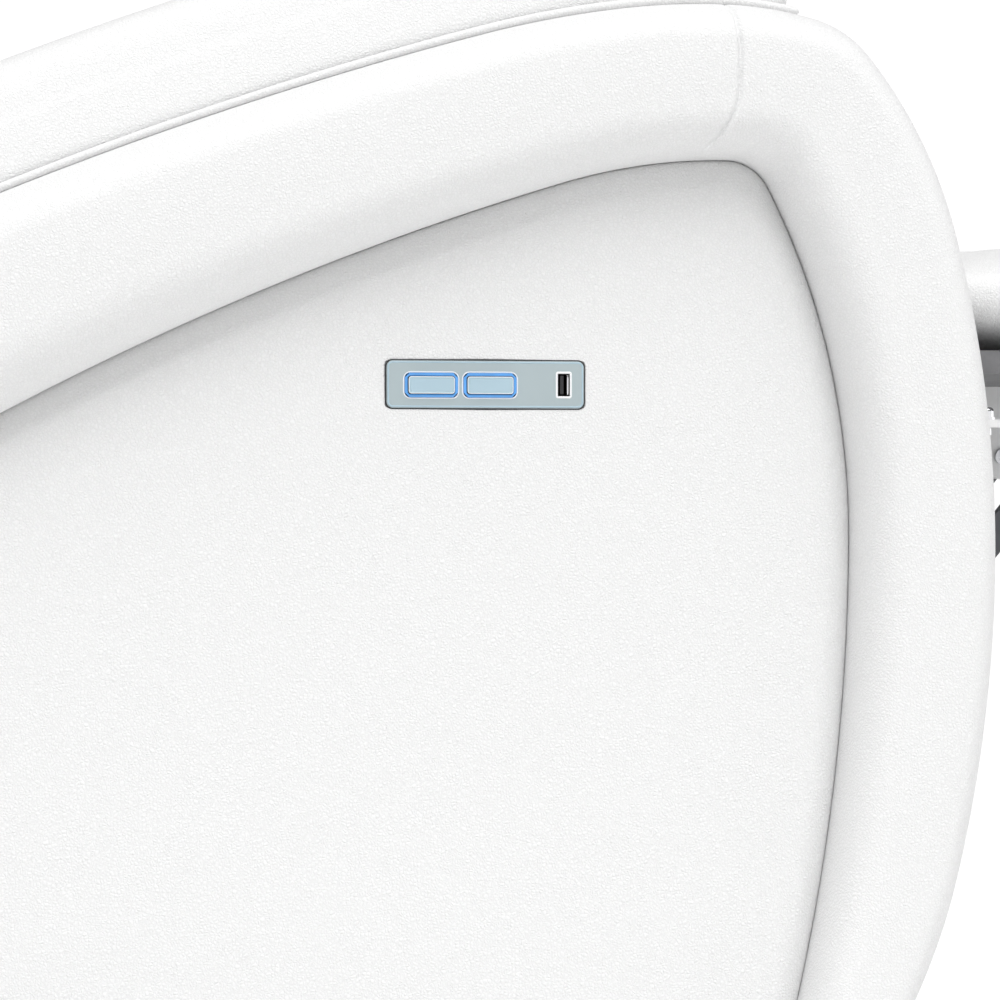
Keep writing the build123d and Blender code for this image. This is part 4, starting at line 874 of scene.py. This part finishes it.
# ------------------------------------------------------------------ cushions
def rounded_block(half, power=7.0, rings=48, turns=96):
    """A block with rounded edges, whose radius solves |x/a|^p + |y/b|^p + |z/c|^p = 1."""
    tilt = np.linspace(-np.pi / 2, np.pi / 2, rings)[:, None]
    turn = np.linspace(0, 2 * np.pi, turns, endpoint=False)[None, :]
    ray = np.stack(np.broadcast_arrays(np.cos(tilt) * np.cos(turn), np.cos(tilt) * np.sin(turn),
                                       np.sin(tilt)), axis=-1)
    ray = ray * half
    radius = (np.abs(ray / half) ** power).sum(-1) ** (-1 / power)
    return ray * radius[..., None]


def coordinates(mesh):
    """A mesh's points as an array."""
    points = np.empty(len(mesh.vertices) * 3, np.float32)
    mesh.vertices.foreach_get("co", points)
    return points.reshape(-1, 3).astype(float)


def bake_modifiers(piece):
    """Replaces the piece's mesh by what its modifiers make, and removes them."""
    graph = bpy.context.evaluated_depsgraph_get()
    mesh = bpy.data.meshes.new_from_object(piece.evaluated_get(graph))
    old = piece.data
    piece.modifiers.clear()
    piece.data = mesh
    bpy.data.meshes.remove(old)


FILLING_FRAMES = 20  # how long the cover's cloth moves


def inflate(piece, size):
    """Fills the cover by cloth pressure without gravity, and holds each point near its start."""
    scene = bpy.context.scene
    cloth = piece.modifiers.new("Filling", "CLOTH")
    cloth.settings.quality = 4
    cloth.settings.mass = 0.3
    cloth.settings.tension_stiffness = cloth.settings.compression_stiffness = 18.0
    cloth.settings.shear_stiffness = 8.0
    cloth.settings.bending_stiffness = 1.2
    cloth.settings.use_pressure = True
    cloth.settings.uniform_pressure_force = size.pressure
    cloth.settings.effector_weights.gravity = 0.0
    cloth.point_cache.frame_start, cloth.point_cache.frame_end = 1, FILLING_FRAMES
    before = coordinates(piece.data)
    for step in range(1, FILLING_FRAMES + 1):
        scene.frame_set(step)
    graph = bpy.context.evaluated_depsgraph_get()
    moved = coordinates(piece.evaluated_get(graph).data) - before
    piece.modifiers.clear()
    scene.frame_set(1)
    length = np.maximum(np.linalg.norm(moved, axis=1, keepdims=True), 1e-9)
    after = before + moved * np.minimum(1, size.swell / length)
    piece.data.vertices.foreach_set("co", after.astype(np.float32).ravel())
    piece.data.update()


def pillow(share, sharpness):
    """Padding between two seams: nought in its middle and one at each seam, steep near the seams."""
    return np.abs(2 * share - 1) ** sharpness


def cushion(name, centre, half, axes, channels):
    """A stuffed cushion: a rounded block is remeshed, filled by cloth pressure, smoothed and fitted
    back into its block's box, and then its channels sink its face. Local axes are along, across
    and out; axes turns them into the chair's."""
    size = bpy.context.scene.chair_cushion
    half = np.array(half)
    grid = rounded_block(half - size.inset * np.array([1, 1, 0.8]))
    piece = grid_piece(name, grid, "white_leather", wrap_columns=True)
    remesh = piece.modifiers.new("Even mesh", "REMESH")
    remesh.mode, remesh.voxel_size = "VOXEL", size.voxel
    bake_modifiers(piece)
    inflate(piece, size)
    smooth = piece.modifiers.new("Even skin", "SMOOTH")
    smooth.factor, smooth.iterations = 0.5, 10
    finer = piece.modifiers.new("Finer skin", "SUBSURF")
    finer.levels = finer.render_levels = 1
    bake_modifiers(piece)
    points = coordinates(piece.data)
    low, high = points.min(0), points.max(0)
    points = (points - (low + high) / 2) * (2 * half / (high - low))
    face = np.clip(points[:, 2] / (0.6 * half[2]), 0, 1)
    points[:, 2] -= size.channel_depth * face * channels(points / half, size.channel_sharpness)
    points = np.array(centre) + points @ np.array(axes)
    piece.data.vertices.foreach_set("co", points.astype(np.float32).ravel())
    piece.data.polygons.foreach_set("use_smooth", np.ones(len(piece.data.polygons), bool))
    piece.data.update()
    return piece


def welt(piece, centre, half, axes, level, thick=2.6 * MM):
    """A welt cord sewn round a cushion at a level, as a share of its half thickness.

    Its path is the cushion's own outline there: the radius in each direction is the furthest of
    the cover's points near that level, evened over its neighbours. Its section is a circle.
    """
    points = (coordinates(piece.data) - centre) @ np.array(axes).T
    near = np.abs(points[:, 2] - level * half[2]) < 0.16 * half[2]
    angle = np.arctan2(points[near, 1], points[near, 0])
    radius = np.hypot(points[near, 0], points[near, 1])
    count = 360
    cell = ((angle / (2 * np.pi)) % 1 * count).astype(int)
    reach = np.zeros(count)
    np.maximum.at(reach, cell, radius)
    turn = (np.arange(count) + 0.5) / count * 2 * np.pi
    reach = np.interp(turn, turn[reach > 0], reach[reach > 0], period=2 * np.pi)
    for _ in range(3):
        reach = (np.roll(reach, 1) + reach + np.roll(reach, -1)) / 3
    round_turn = np.linspace(0, 2 * np.pi, 12, endpoint=False)[:, None]
    path = np.stack([reach * np.cos(turn), reach * np.sin(turn)], axis=-1)
    ahead = np.roll(path, -1, axis=0) - np.roll(path, 1, axis=0)
    out = np.stack([ahead[:, 1], -ahead[:, 0]], axis=-1) / np.linalg.norm(ahead, axis=1, keepdims=True)
    x = path[:, 0] + out[:, 0] * (thick * np.cos(round_turn) - 0.5 * thick)
    y = path[:, 1] + out[:, 1] * (thick * np.cos(round_turn) - 0.5 * thick)
    z = level * half[2] + thick * np.sin(round_turn) + 0 * turn
    cord = np.stack([x, y, z], axis=-1) @ np.array(axes) + centre
    return surfaces(piece.name.replace("_cover", "_welt"), [cord], "white_leather", True, True)


LEVEL = np.eye(3)
HEADREST_FRAME_INSET = 19 * MM  # how far the headrest's leather back stays inside its pad's ends


def back_axes():
    """The reclined back's directions: up along it, across, and out of its face."""
    slide = next(j for j in frame["joints"] if j["name"] == "headrest_slide")
    along = np.array(slide["axis"], float)
    across = np.array([0.0, -1.0, 0.0])
    return np.array([along, across, np.cross(along, across)])


def oriented_box(node, axes):
    """Centre and half size of a node's mesh in turned axes."""
    points = coordinates(frame["nodes"][node].data) @ axes.T
    low, high = points.min(0), points.max(0)
    return (low + high) / 2 @ axes, (high - low) / 2


def bolstered(bolster, bands):
    """Channels of a panel between two side bolsters: seams between bands and one seam each side.

    Both ends of the panel are free of seams, and the side seams fade out over the last ninth.
    """
    def depth(place, sharpness):
        x, y = place[:, 0], place[:, 1]
        inside = np.abs(y) < bolster
        side = (np.abs(y) - bolster) / (1 - bolster)
        band = pillow((x + 1) / 2 * bands % 1, sharpness * 2.2) * (np.abs(x) < 1 - 1 / bands)
        panel = np.maximum(pillow((y / bolster + 1) / 2, sharpness * 2.6), band)
        edge = np.clip(1 - np.abs(side) * 9, 0, 1) ** 2
        rim = np.clip((1 - np.abs(x)) * 9, 0, 1)
        return np.where(inside, panel, edge) * rim
    return depth


class CHAIR_OT_seat(bpy.types.Operator):
    """Makes the seat cushion"""

    bl_idname = "chair.seat"
    bl_label = "Seat Cushion"

    def execute(self, context):
        """The seat's block, filled, with two side bolsters and one seam across its middle."""
        centre, half = oriented_box("seat_cushion", LEVEL)
        seat = cushion("seat_cushion_cover", centre, half, LEVEL, bolstered(0.66, 2))
        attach(seat, "base")
        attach(welt(seat, centre, half, LEVEL, 0.45), "base")
        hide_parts("seat_cushion")
        return {"FINISHED"}


class CHAIR_OT_back(bpy.types.Operator):
    """Makes the back cushion"""

    bl_idname = "chair.back"
    bl_label = "Back Cushion"

    def execute(self, context):
        """The back's block in the back's own directions, with side bolsters and four bands."""
        axes = back_axes()
        centre, half = oriented_box("back_cushion", axes)
        back = cushion("back_cushion_cover", centre, half, axes, bolstered(0.68, 4))
        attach(back, "backrest")
        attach(welt(back, centre, half, axes, 0.45), "backrest")
        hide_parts("back_cushion")
        return {"FINISHED"}


class CHAIR_OT_headrest(bpy.types.Operator):
    """Makes the headrest pad"""

    bl_idname = "chair.headrest"
    bl_label = "Headrest Pad"

    def execute(self, context):
        """The headrest's block in the back's own directions, with one seam across its middle."""
        axes = back_axes()
        centre, half = oriented_box("headrest_pad", axes)
        pad = cushion("headrest_pad_cover", centre, half, axes, bolstered(0.7, 2))
        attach(pad, "headrest")
        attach(welt(pad, centre, half, axes, 0.35), "headrest")
        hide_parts("headrest_pad")

        local = np.array(centre) @ axes.T
        low_out = (coordinates(frame["nodes"]["headrest_frame"].data) @ axes.T)[:, 2].min()
        high_out = local[2] - half[2]
        shell_half = np.array([half[0], half[1] - HEADREST_FRAME_INSET,
                               (high_out - low_out) / 2 + 3 * MM])
        place = (local[0] - 6 * MM, local[1], (low_out + high_out) / 2 - 2 * MM)
        shell = rounded_block(shell_half, 16.0) + place
        cover = grid_piece("headrest_back_cover", shell @ axes, "white_leather", wrap_columns=True)
        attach(cover, "headrest")
        return {"FINISHED"}


class CHAIR_OT_leg_rest(bpy.types.Operator):
    """Makes the leg rest's cushion"""

    bl_idname = "chair.leg_rest"
    bl_label = "Leg Rest Cushion"

    def execute(self, context):
        """The leg rest's block, filled, with two side bolsters."""
        centre, half = oriented_box("leg_cushion", LEVEL)
        pad = cushion("leg_cushion_cover", centre, half, LEVEL, bolstered(0.68, 1))
        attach(pad, "leg_rest")
        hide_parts("leg_cushion")
        return {"FINISHED"}


# ------------------------------------------------------------------ finishes and stage
class CHAIR_OT_finishes(bpy.types.Operator):
    """Gives every piece of the frame its finish"""

    bl_idname = "chair.finishes"
    bl_label = "Frame Finishes"

    def execute(self, context):
        """Each node's material slots all take the one material of its record slot."""
        for name, node in frame["nodes"].items():
            node.data.materials.clear()
            node.data.materials.append(material(SLOTS[name]))
        return {"FINISHED"}


class CHAIR_OT_stage(bpy.types.Operator):
    """Makes the floor, the lights and the camera"""

    bl_idname = "chair.stage"
    bl_label = "Floor, Lights and Camera"

    def execute(self, context):
        """A wide level floor, white surroundings, two large soft lights and a long-lens camera."""
        scene, size = context.scene, context.scene.chair_stage
        half = size.floor / 2
        corners = np.array([[-half, -half, 0], [half, -half, 0], [half, half, 0], [-half, half, 0]])
        mesh = bpy.data.meshes.new("floor")
        mesh.from_pydata(corners, [], [(0, 1, 2, 3)])
        floor = bpy.data.objects.new("floor", mesh)
        scene.collection.objects.link(floor)
        painted_light_lift, tree, shader = start_material("pale_floor", Roughness=0.9, Specular_IOR_Level=0.1)
        tone = object_pattern(tree, "TexNoise", 3.0)
        shade(tree, tone, (0.96, 0.96, 0.96), (0.97, 0.97, 0.97), shader.inputs["Base Color"])
        mesh.materials.append(painted_light_lift)

        world = bpy.data.worlds.new("white_surroundings")
        world.use_nodes = True
        tree = world.node_tree
        sky = tree.nodes["Background"]
        up = add_node(tree, "SeparateXYZ")
        tree.links.new(add_node(tree, "TexCoord").outputs["Generated"], up.inputs[0])
        fade = {1: np.sin(size.wall_top), 2: np.sin(1.8 * size.wall_top), 3: size.walls, 4: size.sky}
        bright = add_node(tree, "MapRange", fade, interpolation_type="SMOOTHSTEP")
        tree.links.new(up.outputs["Z"], bright.inputs["Value"])
        tree.links.new(bright.outputs["Result"], sky.inputs["Strength"])
        sky.inputs["Color"].default_value = (1, 1, 1, 1)
        scene.world = world

        for name, strength, rise, turn in (("key", size.key, size.key_rise, size.key_turn),
                                           ("fill", size.fill, size.fill_rise, size.fill_turn)):
            light = bpy.data.objects.new(name, bpy.data.lights.new(name, "SUN"))
            scene.collection.objects.link(light)
            light.data.energy, light.data.angle = strength, size.light_width
            towards = Vector((np.cos(rise) * np.sin(turn), -np.cos(rise) * np.cos(turn), np.sin(rise)))
            light.rotation_euler = towards.to_track_quat("Z", "Y").to_euler()

        camera = bpy.data.objects.new("camera", bpy.data.cameras.new("camera"))
        scene.collection.objects.link(camera)
        camera.data.lens, camera.data.sensor_width = size.lens, 36.0
        camera.data.clip_end = 4 * size.floor
        camera.location = (ARM_FRONT - size.behind, -size.aside, size.height)
        camera.rotation_euler = (np.pi / 2, 0, -size.turn)
        scene.camera = camera
        scene.view_settings.view_transform = "Standard"
        return {"FINISHED"}


OPERATORS = [
    CHAIR_OT_stage, CHAIR_OT_finishes, CHAIR_OT_arm_rolls, CHAIR_OT_arm_fields, CHAIR_OT_arm_pads,
    CHAIR_OT_arm_piping, CHAIR_OT_inner_pads, CHAIR_OT_control_panel, CHAIR_OT_seat,
    CHAIR_OT_back, CHAIR_OT_headrest, CHAIR_OT_leg_rest,
]


class CHAIR_PT_build(bpy.types.Panel):
    """The chair's pieces, in the order that they are made"""

    bl_idname = "CHAIR_PT_build"
    bl_label = "Spa Chair"
    bl_space_type = "VIEW_3D"
    bl_region_type = "UI"
    bl_category = "Spa Chair"

    def draw(self, context):
        for group in GROUPS:
            settings = getattr(context.scene, group)
            box = self.layout.box()
            for key in settings.__annotations__:
                box.prop(settings, key)
        for operator in OPERATORS:
            self.layout.operator(operator.bl_idname)


def register():
    for name, group in GROUPS.items():
        bpy.utils.register_class(group)
        setattr(bpy.types.Scene, name, PointerProperty(type=group))
    for operator in [*OPERATORS, CHAIR_PT_build]:
        bpy.utils.register_class(operator)


def unregister():
    for operator in reversed([*OPERATORS, CHAIR_PT_build]):
        bpy.utils.unregister_class(operator)
    for name, group in GROUPS.items():
        delattr(bpy.types.Scene, name)
        bpy.utils.unregister_class(group)


def main():
    """Makes every piece in order."""
    register()
    for operator in OPERATORS:
        group, action = operator.bl_idname.split(".")
        getattr(getattr(bpy.ops, group), action)()


if __name__ == "__main__":
    main()
